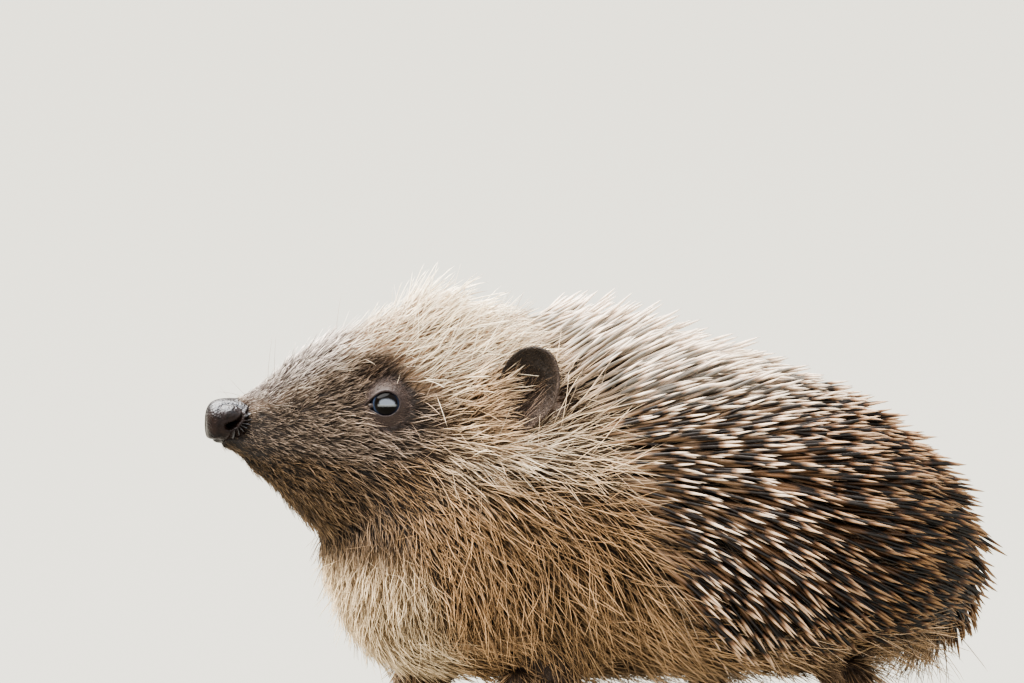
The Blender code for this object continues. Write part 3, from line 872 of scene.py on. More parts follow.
def regions(points):
    """Shares, from 0 to 1, of the parts of the coat at each point."""
    back, side, height = face_distances(points)
    z = points[:, 2] / MM
    wobble = 1.2 * np.sin(back * 0.9 + height * 0.6) + 0.8 * np.sin(height * 1.4 - side * 0.7)
    brow = fade(height - mask_top(back) + wobble * 0.5, -1.5, 2.5) * fade(back, 3, 9) * fade(back, 66, 56)
    mask = fade(back + wobble, 46, 36) * fade(height - mask_bottom(back) + wobble, -3.0, 3.0) * (1 - brow)
    jaw = fade(back, 36, 22) * (1 - brow)
    mask = np.maximum(mask, jaw)
    # Under the jaw the coat is dark: partly the hair's own brown, partly painted shade under the head.
    chin = fade(height + 0.4 * (back - 10) * (back < 10), -2.5, -7.5) * fade(back + 0.5 * wobble, 46, 22)
    chin = chin * fade(height + 0.25 * back, 3.0, -3.0)
    chest = fade(back + 0.5 * wobble + 0.25 * height, 36, 28) * fade(height, -22, -27) * fade(z, 12, 22)
    collar = fade(height, -14, -6) * fade(back, 36, 46) * (1 - brow)
    # A dark spot above the eye, under the brow's hair: painted shade.
    patch = np.hypot((back - 30.5) / 4.2, (height - 9.4 - 0.25 * (back - 30.5)) / 2.3) + 0.08 * wobble
    # The top of the muzzle: pale hair, whitened further as painted sheen where the light from above falls.
    bridge = brow * fade(back, 32, 22)
    temple = fade(np.hypot((back - 50) / 1.1, height - 1.5) + 0.6 * wobble, 8.5, 4.0)
    belly = fade(z, 24, 14) * fade(back, 46, 66)
    around_eye = np.zeros(len(points))
    for centre in (EYE_LEFT, EYE_RIGHT):
        around_eye = np.maximum(around_eye, fade(far_from(points, centre), 6.0, 4.3))
    return dict(
        brow=brow, bridge=bridge, collar=collar, temple=temple, patch=fade(patch, 1.3, 0.6), mask=mask,
        chin=chin, chest=chest, belly=belly, limb=limb(points), eye=around_eye, spiny=spiny(points),
    )  # fmt: skip


# The root colours, which the skin takes too, are darker than bare skin: partly the hairs' dark bases, partly
# painted shade in the gaps between the hairs.
MARKINGS = {  # part of the coat: root colour, tip colour, each laid over those before it
    "flank": ((26, 16, 8), (186, 151, 112)),
    "collar": ((58, 40, 26), (250, 226, 194)),
    "belly": ((52, 38, 26), (176, 150, 120)),
    "mask": ((32, 24, 19), (178, 158, 140)),
    # under the jaw: own brown with painted shade
    "chin": ((18, 12, 7), (130, 106, 80)),
    "chest": ((108, 86, 60), (236, 212, 176)),
    "brow": ((146, 118, 92), (255, 242, 218)),
    # pale hair with painted sheen on top of the muzzle
    "bridge": ((66, 54, 48), (252, 240, 230)),
    "temple": ((66, 49, 36), (220, 190, 156)),
    # painted shade above the eye
    "patch": ((28, 20, 15), (118, 98, 82)),
    "limb": ((56, 42, 32), (142, 114, 88)),
    "spiny": ((22, 15, 11), (222, 198, 172)),
    "eye": ((60, 49, 45), (148, 130, 120)),
}
# Dark in the bowl above: the ear's own dark brown, deepened as painted shade.
EAR_SHADED_BOWL = ((32, 23, 16), (96, 78, 60))  # in the bowl, above
# Lighter below and along the rear edge: painted light, with a painted sheen on the rim.
EAR_LIT_EDGE = ((68, 56, 49), (136, 118, 105))  # below, and along the rear edge


def markings(points):
    """Root and tip colours, blended part over part."""
    share = regions(points)
    root = np.tile(paint(*MARKINGS["flank"][0]), (len(points), 1))
    tip = np.tile(paint(*MARKINGS["flank"][1]), (len(points), 1))
    for part, (dark, pale) in MARKINGS.items():
        if part != "flank":
            root = mix(root, paint(*dark), share[part][:, None])
            tip = mix(tip, paint(*pale), share[part][:, None])
    return root, tip


def ear_colours_and_light(points, side):
    """Root and tip colours of an ear: its own dark brown, with painted shade deep in the bowl above and
    painted light below and along the rear edge.
    """
    rear, up, _ = ear_distances(points, side)
    edge = fade(ear_share(rear, up), 0.7, 0.97)
    # light is the share of painted light, low on the cup and along its rear rim.
    light = np.maximum(fade(up - 0.35 * rear, 2.5, -4.5), 0.8 * edge * fade(rear, 0, 3.5))[:, None]
    return [mix(paint(*dark), paint(*pale), light) for dark, pale in zip(EAR_SHADED_BOWL, EAR_LIT_EDGE)]


def store_markings(obj, root, tip):
    """Stores the two colours with the skin, where each strand will find them at its root."""
    alpha = np.ones((len(root), 1))
    store(obj.data, "root_colour", np.hstack([root, alpha]))
    store(obj.data, "tip_colour", np.hstack([tip, alpha]))


store_markings(skin, *markings(read_points(skin.data)))
for cup, (side, _) in zip(ears, SIDES):
    store_markings(cup, *ear_colours_and_light(read_points(cup.data), side))

# %% [markdown]
# A coat looks combed because every hair leans away from the nose and follows the body. The lie is stored as
# one direction for each point: a heading along the flank or face, laid flat against the surface, and then
# lifted off it by an angle. On the cheek the hair runs back and a little up, on the throat and shoulder it
# falls, it fans out from the nose, and it parts round the eyes. The spines have slopes of their own, which
# are level under the ear, climb on the back and droop towards the skirt.

# %% The way the coat flows
# Degrees above the horizontal, at heights in millimetres.
HEAD_SLOPES = ([-34, -24, -16, -9, -3, 3, 8, 16, 26], [-76, -66, -46, -26, -6, 8, 18, 26, 30])
NECK_SLOPES = ([12, 22, 32, 42, 52, 60, 70, 80, 90], [-64, -56, -48, -37, -22, -8, 0, 8, 16])
SPINE_SLOPES = ([24, 33, 42, 51, 60, 68, 76, 84], [-54, -48, -38, -25, -11, 0, 10, 20])
AHEAD, LEFT, UPWARD = (np.array(way) for way in (HEAD_AHEAD, HEAD_LEFT, UP))


def rearwards(points, slope):
    """Directions that run to the rear, turning with the neck, and climb by slope degrees."""
    back, side, _ = face_distances(points)
    level = unit(mix(-AHEAD[None, :], np.array([[1.0, 0, 0]]), fade(back, 40, 75)[:, None]))
    level = level + LEFT * (np.sign(side) * 0.10 * fade(np.abs(side), 2, 12))[:, None]
    angle = np.radians(slope)[:, None]
    return level * np.cos(angle) + UPWARD * np.sin(angle)


def hair_heading(points):
    """Which way the hair runs at each point, before it is laid on the surface."""
    back, _, height = face_distances(points)
    x, z = points[:, 0] / MM, points[:, 2] / MM
    on_body = np.interp(z, *NECK_SLOPES) * (1 - 0.5 * fade(x, -5, 35))
    on_body = mix(on_body, -78, fade(x, 46, 72))
    flow = rearwards(points, mix(np.interp(height, *HEAD_SLOPES), on_body, fade(back, 54, 80)))
    flow = flow + unit(points - np.array(middle("nose"))) * (1.6 * fade(back, 17, 6))[:, None]
    for centre in (EYE_LEFT, EYE_RIGHT):
        parting = 0.6 * fade(far_from(points, centre), 8.0, 4.5)
        flow = flow + unit(points - np.array(centre)) * parting[:, None]
    down_leg = mix(np.array([[0.35, 0, -1.0]]), np.array([[-1.0, 0, -0.1]]), fade(z, 9, 6)[:, None])
    return mix(unit(flow), down_leg, limb(points)[:, None])


def spine_heading(points):
    """Which way the spines point, level at mid height and drooping over the rump."""
    x, z = points[:, 0] / MM, points[:, 2] / MM
    slope = np.interp(z, *SPINE_SLOPES) * (1 - 0.6 * fade(x, 2, 34))
    return rearwards(points, mix(slope, -72, fade(x, 48, 78) * fade(z, 80, 50)))


def lie(flow, normals, lift):
    """Unit directions of the strands: the flow laid on the surface, then lifted off it by degrees."""
    flat = unit(flow - normals * np.sum(flow * normals, axis=1, keepdims=True))
    angle = np.radians(lift)[:, None]
    return flat * np.cos(angle) + normals * np.sin(angle)


# %% How long the coat is, and how far it stands off
COMMON_LENGTH = ([4, 8, 14, 24, 32, 40, 50, 62, 80], [0.9, 1.6, 2.5, 3.6, 4.8, 6.8, 9.5, 12.5, 15.0])


def hair_length(points):
    """In millimetres: short on the muzzle, longest on the flank."""
    back = face_distances(points)[0]
    z = points[:, 2] / MM
    share = regions(points)
    length = np.interp(back, *COMMON_LENGTH)
    length = mix(length, np.interp(back, [8, 16, 26, 36, 50], [1.6, 3.4, 5.4, 7.2, 9.5]), share["brow"])
    length = mix(length, np.interp(back, [8, 14, 22, 36], [1.8, 3.0, 5.2, 8.0]), share["chin"])
    length = mix(length, 10.0, share["belly"])
    length = mix(length, 6.0, limb(points, 27))
    length = mix(length, 3.2, share["limb"])
    length = mix(length, 2.0, fade(z, 8.5, 6))
    for side in (1, -1):
        # The hair in front of an ear is just long enough to cross its front edge.
        rear, up, out = ear_distances(points, side)
        room = np.hypot(np.maximum(-rear - 4.5, 0), np.maximum(np.abs(up) - 8.0, 0) * 0.7) + 6.6
        beside = fade(rear, 1, -2) * fade(np.abs(up), 14, 10) * (np.abs(out) < 14)
        length = np.where(beside > 0, mix(length, np.minimum(length, room), beside), length)
        behind = (ear_share(rear, up) < 1.15) & (out < -3) & (out > -EAR_BACK)
        length = np.where(behind, np.minimum(length, 3.0), length)
        if side < 0:
            around = fade(ear_share(rear, up), 2.0, 1.5) * fade(rear, -4, -1) * (np.abs(out) < 16)
            length = mix(length, np.minimum(length, 3.2), around)
    length = np.minimum(length, np.maximum(z - 1.0, 1.2))
    for centre in (EYE_LEFT, EYE_RIGHT):
        near_lids = np.interp(far_from(points, centre), [3.8, 4.4, 5.3, 7.0], [0.9, 1.7, 4.0, 20.0])
        length = np.minimum(length, near_lids)
    return length


def hair_lift(points):
    """How far the hair stands off the skin, in degrees."""
    back = face_distances(points)[0]
    share = regions(points)
    lift = np.interp(back, [4, 20, 40, 60, 90], [20, 19, 16, 17, 18])
    lift = mix(lift, np.interp(back, [10, 30, 42, 56], [15, 18, 23, 28]), share["brow"])
    return mix(mix(lift, 12, share["belly"]), 8, limb(points, 27))


def spine_length(points):
    """In millimetres: shorter behind the brow and along the skirt."""
    length = np.interp(face_distances(points)[0], [42, 52, 75, 100], [11.5, 13.5, 16.0, 17.5])
    return length * (1 - 0.3 * fade(points[:, 2] / MM, 36, 24))


def spine_lift(points):
    """How far the spines stand off the skin, in degrees."""
    back = face_distances(points)[0]
    z = points[:, 2] / MM
    lift = np.interp(back, [42, 54, 66, 80, 95, 150], [50, 44, 34, 25, 21, 22])
    return lift - 5 * fade(z, 55, 35)


# %% [markdown]
# One unwrap of the skin serves as the map for baking, for the coat too: every strand becomes a tiny patch
# on it, at the place where it is rooted.

# %% Unwrap
BAKE_MAP = "OFBake"


def unwrap(obj):
    """Cuts the skin into flattish islands and packs them side by side."""
    obj.data.uv_layers.new(name=BAKE_MAP)
    bpy.context.view_layer.objects.active = obj
    obj.select_set(True)
    bpy.ops.object.mode_set(mode="EDIT")
    bpy.ops.mesh.select_all(action="SELECT")
    bpy.ops.uv.smart_project(angle_limit=math.radians(66), island_margin=0.002)
    bpy.ops.object.mode_set(mode="OBJECT")
    obj.select_set(False)


for obj in (skin, *ears):
    unwrap(obj)
print("unwrapped:", skin.name, [cup.name for cup in ears])

# %% [markdown]
# A hair is one thin tapered prism, and a spine is a rounder one with a thick waist and a sharp end. They are
# modelled one unit long and standing up, then scattered. Each keeps an attribute that runs from 0 at its
# root to 1 at its tip, so that a material can paint bands along it.


# %% Strand shapes
def strand(name, sides, outline, bend, sway=0.0):
    """A closed upright strand. outline is (distance along, radius) from the root to just short of the tip."""
    bm = bmesh.new()
    along = bm.verts.layers.float.new("along")
    uv = bm.loops.layers.uv.new("strand_map")

    def spine_point(t):
        return Vector((-bend * t * t, sway * t * t, t - 0.3 * bend * bend * t**3))

    rings = []
    for t, radius in outline:
        ring = []
        for k in range(sides):
            angle = math.tau * k / sides
            vert = bm.verts.new(spine_point(t) + Vector((math.cos(angle), math.sin(angle), 0)) * radius)
            vert[along] = t
            ring.append(vert)
        rings.append(ring)
    tip = bm.verts.new(spine_point(1.0))
    tip[along] = 1.0
    loft(bm, rings)
    fan(bm, rings[-1], tip)
    bm.faces.new(list(reversed(rings[0])))
    for face in bm.faces:
        face.smooth = True
        for loop in face.loops:
            angle = math.atan2(loop.vert.co.y, loop.vert.co.x + bend * loop.vert[along] ** 2)
            loop[uv].uv = (0.5 + 0.45 * math.sin(angle), 0.05 + 0.9 * loop.vert[along])
    mesh = bpy.data.meshes.new(name)
    bm.to_mesh(mesh)
    bm.free()
    return bpy.data.objects.new(name, mesh)


def strand_set(name, sides, outline, bends):
    """A few strands of different bend, kept in a collection of their own to be scattered."""
    group = bpy.data.collections.new(name)
    for number, (bend, sway) in enumerate(bends):
        group.objects.link(strand(f"{name}_{number}", sides, outline, bend, sway))
    return group


def hair_outline(thick, steps=3):
    """Even for most of its length, then drawn out to a point."""
    return [(t, thick * (1 - 0.55 * t**2)) for t in np.linspace(0, 0.86, steps)]


WHISKER_OUTLINE = [(t, 0.0036 * (1 - 0.75 * t)) for t in (0, 0.2, 0.4, 0.6, 0.8, 0.95)]
SPINE_OUTLINE = [(0, 0.017), (0.10, 0.0215), (0.55, 0.024), (0.82, 0.0175), (0.94, 0.0085)]
STRANDS = {
    name: strand_set(name + "_shapes", sides, outline, bends)
    for name, sides, outline, bends in (
        ("spine", 5, SPINE_OUTLINE, [(0.04, 0.02), (0.08, -0.03), (0.0, 0.0), (0.12, 0.04)]),
        ("long_hair", 3, hair_outline(0.0066, 4), [(0.08, 0.14), (0.20, -0.16), (0.12, 0.0), (0.30, 0.07)]),
        ("mid_hair", 3, hair_outline(0.0135), [(0.08, 0.12), (0.20, -0.12), (0.14, 0.0), (0.26, 0.08)]),
        ("short_hair", 3, hair_outline(0.0205, 2), [(0.12, 0.12), (0.26, -0.12), (0.2, 0.0)]),
        ("under_hair", 3, hair_outline(0.02, 1), [(0.1, 0.15), (0.2, -0.15)]),
        ("velvet", 3, hair_outline(0.06, 1), [(0.15, 0.1), (0.25, -0.1)]),
        ("whisker", 4, WHISKER_OUTLINE, [(0.22, 0.1), (0.34, -0.12), (0.1, 0.05)]),
    )
}


# %% [markdown]
# One Geometry Nodes tree grows every part of the coat. It scatters roots evenly over the skin, at least a
# spacing apart, and turns a strand at each root along the stored lie. Hair doesn't lie like combed wire,
# though. It gathers in small locks, so a second and sparser scatter gives each lock a centre, and the
# strands round it lean that way. A little random lean keeps some hairs crossing their neighbours. At the end,
# each strand's own small map is moved to the spot of its root on the skin's unwrap.


# %% Helper for node trees
def add(tree, kind, inputs=(), **settings):
    """Adds a node. inputs pairs a socket's name or number with a value, or with another node's output."""
    made = tree.nodes.new(kind)
    for key, value in settings.items():
        setattr(made, key, value)
    for key, value in dict(inputs).items():
        if isinstance(value, bpy.types.NodeSocket):
            tree.links.new(value, made.inputs[key])
        else:
            made.inputs[key].default_value = value
    return made


def combine(tree, operation, first, second):
    """One step of vector arithmetic. A number scales a vector."""
    slot = "Scale" if operation == "SCALE" else 1
    return add(tree, "ShaderNodeVectorMath", {0: first, slot: second}, operation=operation).outputs["Vector"]


def reckon(tree, operation, first, second):
    """One step of arithmetic with numbers."""
    return add(tree, "ShaderNodeMath", {0: first, 1: second}, operation=operation).outputs["Value"]


# %% The tree that grows the coat
COAT_INPUTS = {
    "Skin": "NodeSocketGeometry",
    "Strands": "NodeSocketCollection",
    "Finish": "NodeSocketMaterial",
    "Spacing": "NodeSocketFloat",
    "Most Roots": "NodeSocketFloat",
    "Stray": "NodeSocketFloat",
    "Uneven": "NodeSocketFloat",
    "Lock Spacing": "NodeSocketFloat",
    "Lock Pull": "NodeSocketFloat",
    "Shapes": "NodeSocketInt",
    "Seed": "NodeSocketInt",
}
STRAND_PATCH = 0.003  # the width of one strand's patch on the unwrap
MOST_LOCKS = 150000.0  # for each square metre


def coat_tree():
    """The tree with an input for everything that differs from one order to the next."""
    tree = bpy.data.node_groups.new("coat", "GeometryNodeTree")
    for name, kind in COAT_INPUTS.items():
        tree.interface.new_socket(name, in_out="INPUT", socket_type=kind)
    tree.interface.new_socket("Coat", in_out="OUTPUT", socket_type="NodeSocketGeometry")
    given = tree.nodes.new("NodeGroupInput").outputs
    spot = tree.nodes.new("GeometryNodeInputPosition").outputs["Position"]

    def stored(name, kind="FLOAT"):
        return add(tree, "GeometryNodeInputNamedAttribute", {"Name": name}, data_type=kind).outputs[0]

    def store_in(geometry, name, value, kind, domain):
        node = add(
            tree, "GeometryNodeStoreNamedAttribute", {"Geometry": geometry, "Name": name, "Value": value},
            data_type=kind, domain=domain,
        )  # fmt: skip
        return node.outputs[0]

    def chance(low, high, seed, kind="FLOAT"):
        first, last, result = {"FLOAT": (2, 3, 1), "INT": (4, 5, 2), "FLOAT_VECTOR": (0, 1, 0)}[kind]
        number = reckon(tree, "ADD", given["Seed"], seed)
        made = add(tree, "FunctionNodeRandomValue", {first: low, last: high, "Seed": number}, data_type=kind)
        return made.outputs[result]

    roots = add(
        tree, "GeometryNodeDistributePointsOnFaces",
        {
            "Mesh": given["Skin"], "Distance Min": given["Spacing"], "Density Max": given["Most Roots"],
            "Density Factor": stored("grow"), "Seed": given["Seed"],
        },
        distribute_method="POISSON",
    )  # fmt: skip
    centres = add(
        tree, "GeometryNodeDistributePointsOnFaces",
        {
            "Mesh": given["Skin"], "Distance Min": given["Lock Spacing"], "Density Max": MOST_LOCKS,
            "Seed": reckon(tree, "ADD", given["Seed"], 50),
        },
        distribute_method="POISSON",
    ).outputs["Points"]  # fmt: skip
    nearest = add(tree, "GeometryNodeSampleNearest", {"Geometry": centres}).outputs["Index"]
    centre = add(
        tree, "GeometryNodeSampleIndex", {"Geometry": centres, "Value": spot, "Index": nearest},
        data_type="FLOAT_VECTOR",
    ).outputs["Value"]  # fmt: skip
    size = stored("size")
    to_centre = combine(tree, "SCALE", combine(tree, "SUBTRACT", centre, spot), given["Lock Pull"])
    straying = combine(
        tree, "SCALE", chance((-1, -1, -1), (1, 1, 1), 3, "FLOAT_VECTOR"),
        reckon(tree, "MULTIPLY", given["Stray"], size),
    )  # fmt: skip
    reach = combine(tree, "SCALE", stored("lie", "FLOAT_VECTOR"), size)
    toward = combine(tree, "ADD", combine(tree, "ADD", reach, to_centre), straying)
    axes = {"Primary Axis": toward, "Secondary Axis": roots.outputs["Normal"]}
    turn = add(tree, "FunctionNodeAxesToRotation", axes)
    shortest = reckon(tree, "SUBTRACT", 1.0, given["Uneven"])
    longest = reckon(tree, "ADD", 1.0, reckon(tree, "MULTIPLY", given["Uneven"], 0.5))
    scale = reckon(tree, "MULTIPLY", size, chance(shortest, longest, 5))

    points = store_in(roots.outputs["Points"], "luck", chance(0.0, 1.0, 7), "FLOAT", "POINT")
    points = store_in(points, "root_place", stored(BAKE_MAP, "FLOAT_VECTOR"), "FLOAT_VECTOR", "POINT")
    shapes = add(
        tree, "GeometryNodeCollectionInfo",
        {"Collection": given["Strands"], "Separate Children": True, "Reset Children": True},
    ).outputs[0]  # fmt: skip
    strands = add(
        tree, "GeometryNodeInstanceOnPoints",
        {
            "Points": points, "Instance": shapes, "Pick Instance": True,
            "Instance Index": chance(0, reckon(tree, "SUBTRACT", given["Shapes"], 1), 9, "INT"),
            "Rotation": turn.outputs[0], "Scale": scale,
        },
    ).outputs[0]  # fmt: skip
    mesh = add(tree, "GeometryNodeRealizeInstances", {"Geometry": strands}).outputs[0]
    own = combine(tree, "SUBTRACT", stored("strand_map", "FLOAT_VECTOR"), (0.5, 0.5, 0))
    own = combine(tree, "SCALE", own, STRAND_PATCH)
    place = combine(tree, "ADD", stored("root_place", "FLOAT_VECTOR"), own)
    mesh = store_in(mesh, BAKE_MAP, place, "FLOAT2", "CORNER")
    for name in ("root_place", "strand_map", "lie", "size", "grow"):
        mesh = add(tree, "GeometryNodeRemoveAttribute", {"Geometry": mesh, "Name": name}).outputs[0]
    mesh = add(tree, "GeometryNodeSetMaterial", {"Geometry": mesh, "Material": given["Finish"]}).outputs[0]
    end = tree.nodes.new("NodeGroupOutput")
    tree.links.new(mesh, end.inputs["Coat"])
    return tree


COAT = coat_tree()
print("coat tree:", len(COAT.nodes), "nodes")

# %% [markdown]
# Finishes. Every colour of the coat comes from the markings that the strand picked up at its root, from how
# far along the strand a point is, and from the strand's own luck. A hair is dark at the root and pale
# towards the tip. A spine is banded: dull cream at the root, a dark belt, and a cream tip.


# %% Finishes of the coat
def finish(name, **constants):
    """A material with one Principled shader. Constants are set on the shader's own sockets."""
    made = bpy.data.materials.new(name)
    made.use_nodes = True
    tree = made.node_tree
    tree.nodes.clear()
    shader = tree.nodes.new("ShaderNodeBsdfPrincipled")
    for key, value in constants.items():
        shader.inputs[key.replace("_", " ").title().replace("Ior", "IOR")].default_value = value
    add(tree, "ShaderNodeOutputMaterial", {"Surface": shader.outputs[0]})
    return made, tree, shader


def read(tree, name, output="Fac"):
    return add(tree, "ShaderNodeAttribute", attribute_name=name).outputs[output]


def blend_colours(tree, share, first, second):
    return add(tree, "ShaderNodeMix", {0: share, 6: first, 7: second}, data_type="RGBA").outputs[2]


def spread(tree, value, low, high, to_low=0.0, to_high=1.0):
    """Maps low to high onto another range, and stops at its ends."""
    sizes = {"Value": value, "From Min": low, "From Max": high, "To Min": to_low, "To Max": to_high}
    return add(tree, "ShaderNodeMapRange", sizes).outputs[0]


def ramp(tree, value, stops):
    """A colour ramp. stops pairs a place from 0 to 1 with a colour as seen."""
    node = add(tree, "ShaderNodeValToRGB", {0: value})
    elements = node.color_ramp.elements
    while len(elements) < len(stops):
        elements.new(0.5)
    for element, (place, colour) in zip(elements, stops):
        element.position = place
        element.color = (*paint(*colour), 1)
    return node.outputs["Color"]


def along_strand(tree, shift):
    """How far along its strand a point is, moved up or down a little on each strand."""
    luck = reckon(tree, "SUBTRACT", read(tree, "luck"), 0.5)
    return reckon(tree, "ADD", read(tree, "along"), reckon(tree, "MULTIPLY", luck, shift))


def fortune(tree, stir):
    """Another number from 0 to 1 for each strand, drawn from its luck."""
    return reckon(tree, "FRACT", reckon(tree, "MULTIPLY", read(tree, "luck"), stir), 0.0)


def hair_finish(name, start, end, darkest, brightest, dark_share=0.25):
    """Hair that pales from start to end along its length. Some of it stays dark all the way."""
    made, tree, shader = finish(name, roughness=0.5, specular_ior_level=0.3)
    shifted = along_strand(tree, 0.5)
    most = spread(tree, fortune(tree, 13.7), dark_share * 0.7, dark_share * 1.3, 0.3, 1.0)
    pale = reckon(tree, "MULTIPLY", spread(tree, shifted, start, end), most)
    colour = blend_colours(tree, pale, read(tree, "root_colour", "Color"), read(tree, "tip_colour", "Color"))
    colour = combine(tree, "SCALE", colour, spread(tree, fortune(tree, 7.3), 0, 1, darkest, brightest))
    tree.links.new(colour, shader.inputs["Base Color"])
    return made


def spine_finish():
    made, tree, shader = finish("spine_horn", roughness=0.4, specular_ior_level=0.35)
    # pale holds the spines' own paleness towards the head, with painted light high on the back and, below 0,
    # painted shade low on the rump.
    pale = read(tree, "pale")
    # Where spines are pale, their tips are longer and the dark belt sits lower.
    shifted = reckon(tree, "ADD", along_strand(tree, 0.12), spread(tree, pale, 0.2, 1, 0, 0.14))
    bands = ramp(
        tree, shifted,
        [
            (0.0, (60, 44, 31)), (0.30, (150, 124, 98)), (0.48, (120, 97, 76)), (0.56, (34, 25, 20)),
            (0.74, (20, 15, 14)), (0.80, (140, 112, 90)), (0.86, (234, 212, 188)), (1.0, (248, 232, 214)),
        ],
    )  # fmt: skip
    # Low on the sides the spines are browner: partly their own colour, partly painted shade, as the top of
    # the back takes more light.
    dull_and_shaded = combine(tree, "MULTIPLY", bands, (0.74, 0.62, 0.52))
    colour = blend_colours(tree, spread(tree, pale, 0, 0.3), dull_and_shaded, bands)
    # Where pale is high, near the head and high on the back, the spines pale towards cream: on the back this
    # is painted light from above.
    colour = blend_colours(tree, spread(tree, pale, 0.3, 1, 0, 0.5), colour, (*paint(255, 242, 224), 1))
    # Low on the rump the spines are darkened and browned: painted shade.
    painted_rump_shade = combine(tree, "MULTIPLY", colour, (0.32, 0.26, 0.18))
    colour = blend_colours(tree, spread(tree, pale, -1, 0, 1.0, 0.0), colour, painted_rump_shade)
    colour = combine(tree, "SCALE", colour, spread(tree, fortune(tree, 9.1), 0, 1, 0.78, 1.08))
    tree.links.new(colour, shader.inputs["Base Color"])
    return made


SPINE_HORN = spine_finish()
LONG_HAIR = hair_finish("long_hair", 0.05, 0.55, 0.6, 1.35, 0.32)
SHORT_HAIR = hair_finish("short_hair", 0.1, 0.85, 0.6, 1.35, 0.28)
UNDER_HAIR = hair_finish("under_hair", 0.2, 1.9, 0.7, 1.3)
OUTER_HAIR = hair_finish("outer_hair", -0.1, 0.4, 0.85, 1.4, 0.02)
EAR_HAIR = hair_finish("ear_hair", -0.1, 0.5, 1.2, 2.2, 0.02)
WHISKER_HAIR = hair_finish("whisker_hair", 0.5, 2.5, 0.9, 1.6)


# %% [markdown]
# What shows bare gets relief instead of hair: noise and cell patterns of true size, read as heights of
# about a tenth of a millimetre. The nose is nearly black and wet on top, and its nostrils are dark inside,
# partly painted shade; the lids are a moist dark brown, and the claws are paler horn.


# %% Finishes of skin, nose, eyes and claws
def bumped(tree, shader, heights, distance, strength=1.0):
    """Feeds a height pattern to the shader as relief of a real depth in metres."""
    node = add(tree, "ShaderNodeBump", {"Height": heights, "Distance": distance, "Strength": strength})
    tree.links.new(node.outputs[0], shader.inputs["Normal"])


def pattern(tree, kind, size, output=0, **inputs):
    """A noise or cell pattern, whose grain is about size metres."""
    place = add(tree, "ShaderNodeTexCoord").outputs["Object"]
    sizes = {"Vector": place, "Scale": 1 / size}
    sizes.update({key.title(): value for key, value in inputs.items()})
    return add(tree, kind, sizes).outputs[output]


def skin_finish():
    made, tree, shader = finish("hide", roughness=0.62, specular_ior_level=0.35)
    patches = pattern(tree, "ShaderNodeTexNoise", 0.0016, detail=5.0)
    shade = spread(tree, patches, 0.3, 0.7, 0.6, 1.1)
    # The skin takes the root colour, which is partly painted shade in the gaps between the hairs.
    colour = combine(tree, "SCALE", read(tree, "root_colour", "Color"), shade)
    tree.links.new(colour, shader.inputs["Base Color"])
    grain = pattern(tree, "ShaderNodeTexVoronoi", 0.00045)
    folds = pattern(tree, "ShaderNodeTexNoise", 0.0011, detail=6.0)
    bumped(tree, shader, reckon(tree, "ADD", grain, folds), 0.00012)
    return made


def nose_finish():
    made, tree, shader = finish("moist_nose", roughness=0.27)
    patches = pattern(tree, "ShaderNodeTexNoise", 0.0012, detail=4.0)
    colour = ramp(tree, patches, [(0.3, (17, 12, 10)), (0.7, (38, 28, 24))])
    # Inside the nostrils colour and gloss fall nearly to nothing: their own dark brown, deepened as painted
    # shade.
    nostril_shade = spread(tree, read(tree, "hole"), 0, 1, 1.0, 0.12)
    tree.links.new(combine(tree, "SCALE", colour, nostril_shade), shader.inputs["Base Color"])
    gloss = reckon(tree, "MULTIPLY", spread(tree, read(tree, "wet"), 0, 1, 0.12, 0.85), nostril_shade)
    tree.links.new(gloss, shader.inputs["Specular IOR Level"])
    shader.inputs["Specular Tint"].default_value = (0.84, 0.91, 1.0, 1)
    cobbles = pattern(tree, "ShaderNodeTexVoronoi", 0.00042)
    wrinkles = pattern(tree, "ShaderNodeTexNoise", 0.0013, detail=2.0, distortion=1.0)
    bumped(tree, shader, reckon(tree, "ADD", cobbles, reckon(tree, "MULTIPLY", wrinkles, 1.5)), 0.00009)
    return made


def eye_finish():
    made, tree, shader = finish("eye_gloss", roughness=0.04, ior=1.95)
    tree.links.new(spread(tree, read(tree, "shine"), 0, 1, 0.03, 1.0), shader.inputs["Specular IOR Level"])
    shader.inputs["Specular Tint"].default_value = (0.82, 0.9, 1.0, 1)
    rings = ramp(
        tree, reckon(tree, "DIVIDE", read(tree, "from_pupil"), math.pi),
        [
            (0.0, (10, 7, 4)), (0.16, (14, 10, 6)), (0.2, (16, 13, 14)),
            (0.235, (50, 61, 80)), (0.27, (24, 22, 26)),
        ],
    )  # fmt: skip
    tree.links.new(rings, shader.inputs["Base Color"])
    return made


def lid_finish():
    made, tree, shader = finish("lid_edge", roughness=0.4, specular_ior_level=0.35)
    patches = pattern(tree, "ShaderNodeTexNoise", 0.0005, detail=4.0)
    colour = ramp(tree, patches, [(0.3, (24, 18, 17)), (0.75, (62, 50, 48))])
    tree.links.new(colour, shader.inputs["Base Color"])
    bumped(tree, shader, patches, 0.00006)
    return made


def claw_finish():
    made, tree, shader = finish("claw_horn", roughness=0.38, specular_ior_level=0.5)
    grain = pattern(tree, "ShaderNodeTexNoise", 0.0014, detail=3.0)
    colour = ramp(tree, grain, [(0.3, (70, 54, 42)), (0.7, (128, 104, 80))])
    tree.links.new(colour, shader.inputs["Base Color"])
    bumped(tree, shader, grain, 0.00005)
    return made


def dressed(obj, material):
    obj.data.materials.clear()
    obj.data.materials.append(material)


for objects, material in (
    ((skin, *ears), skin_finish()), (eyes, eye_finish()), ([nose], nose_finish()), (lids, lid_finish()),
    ([claws], claw_finish()),
):  # fmt: skip
    for obj in objects:
        dressed(obj, material)


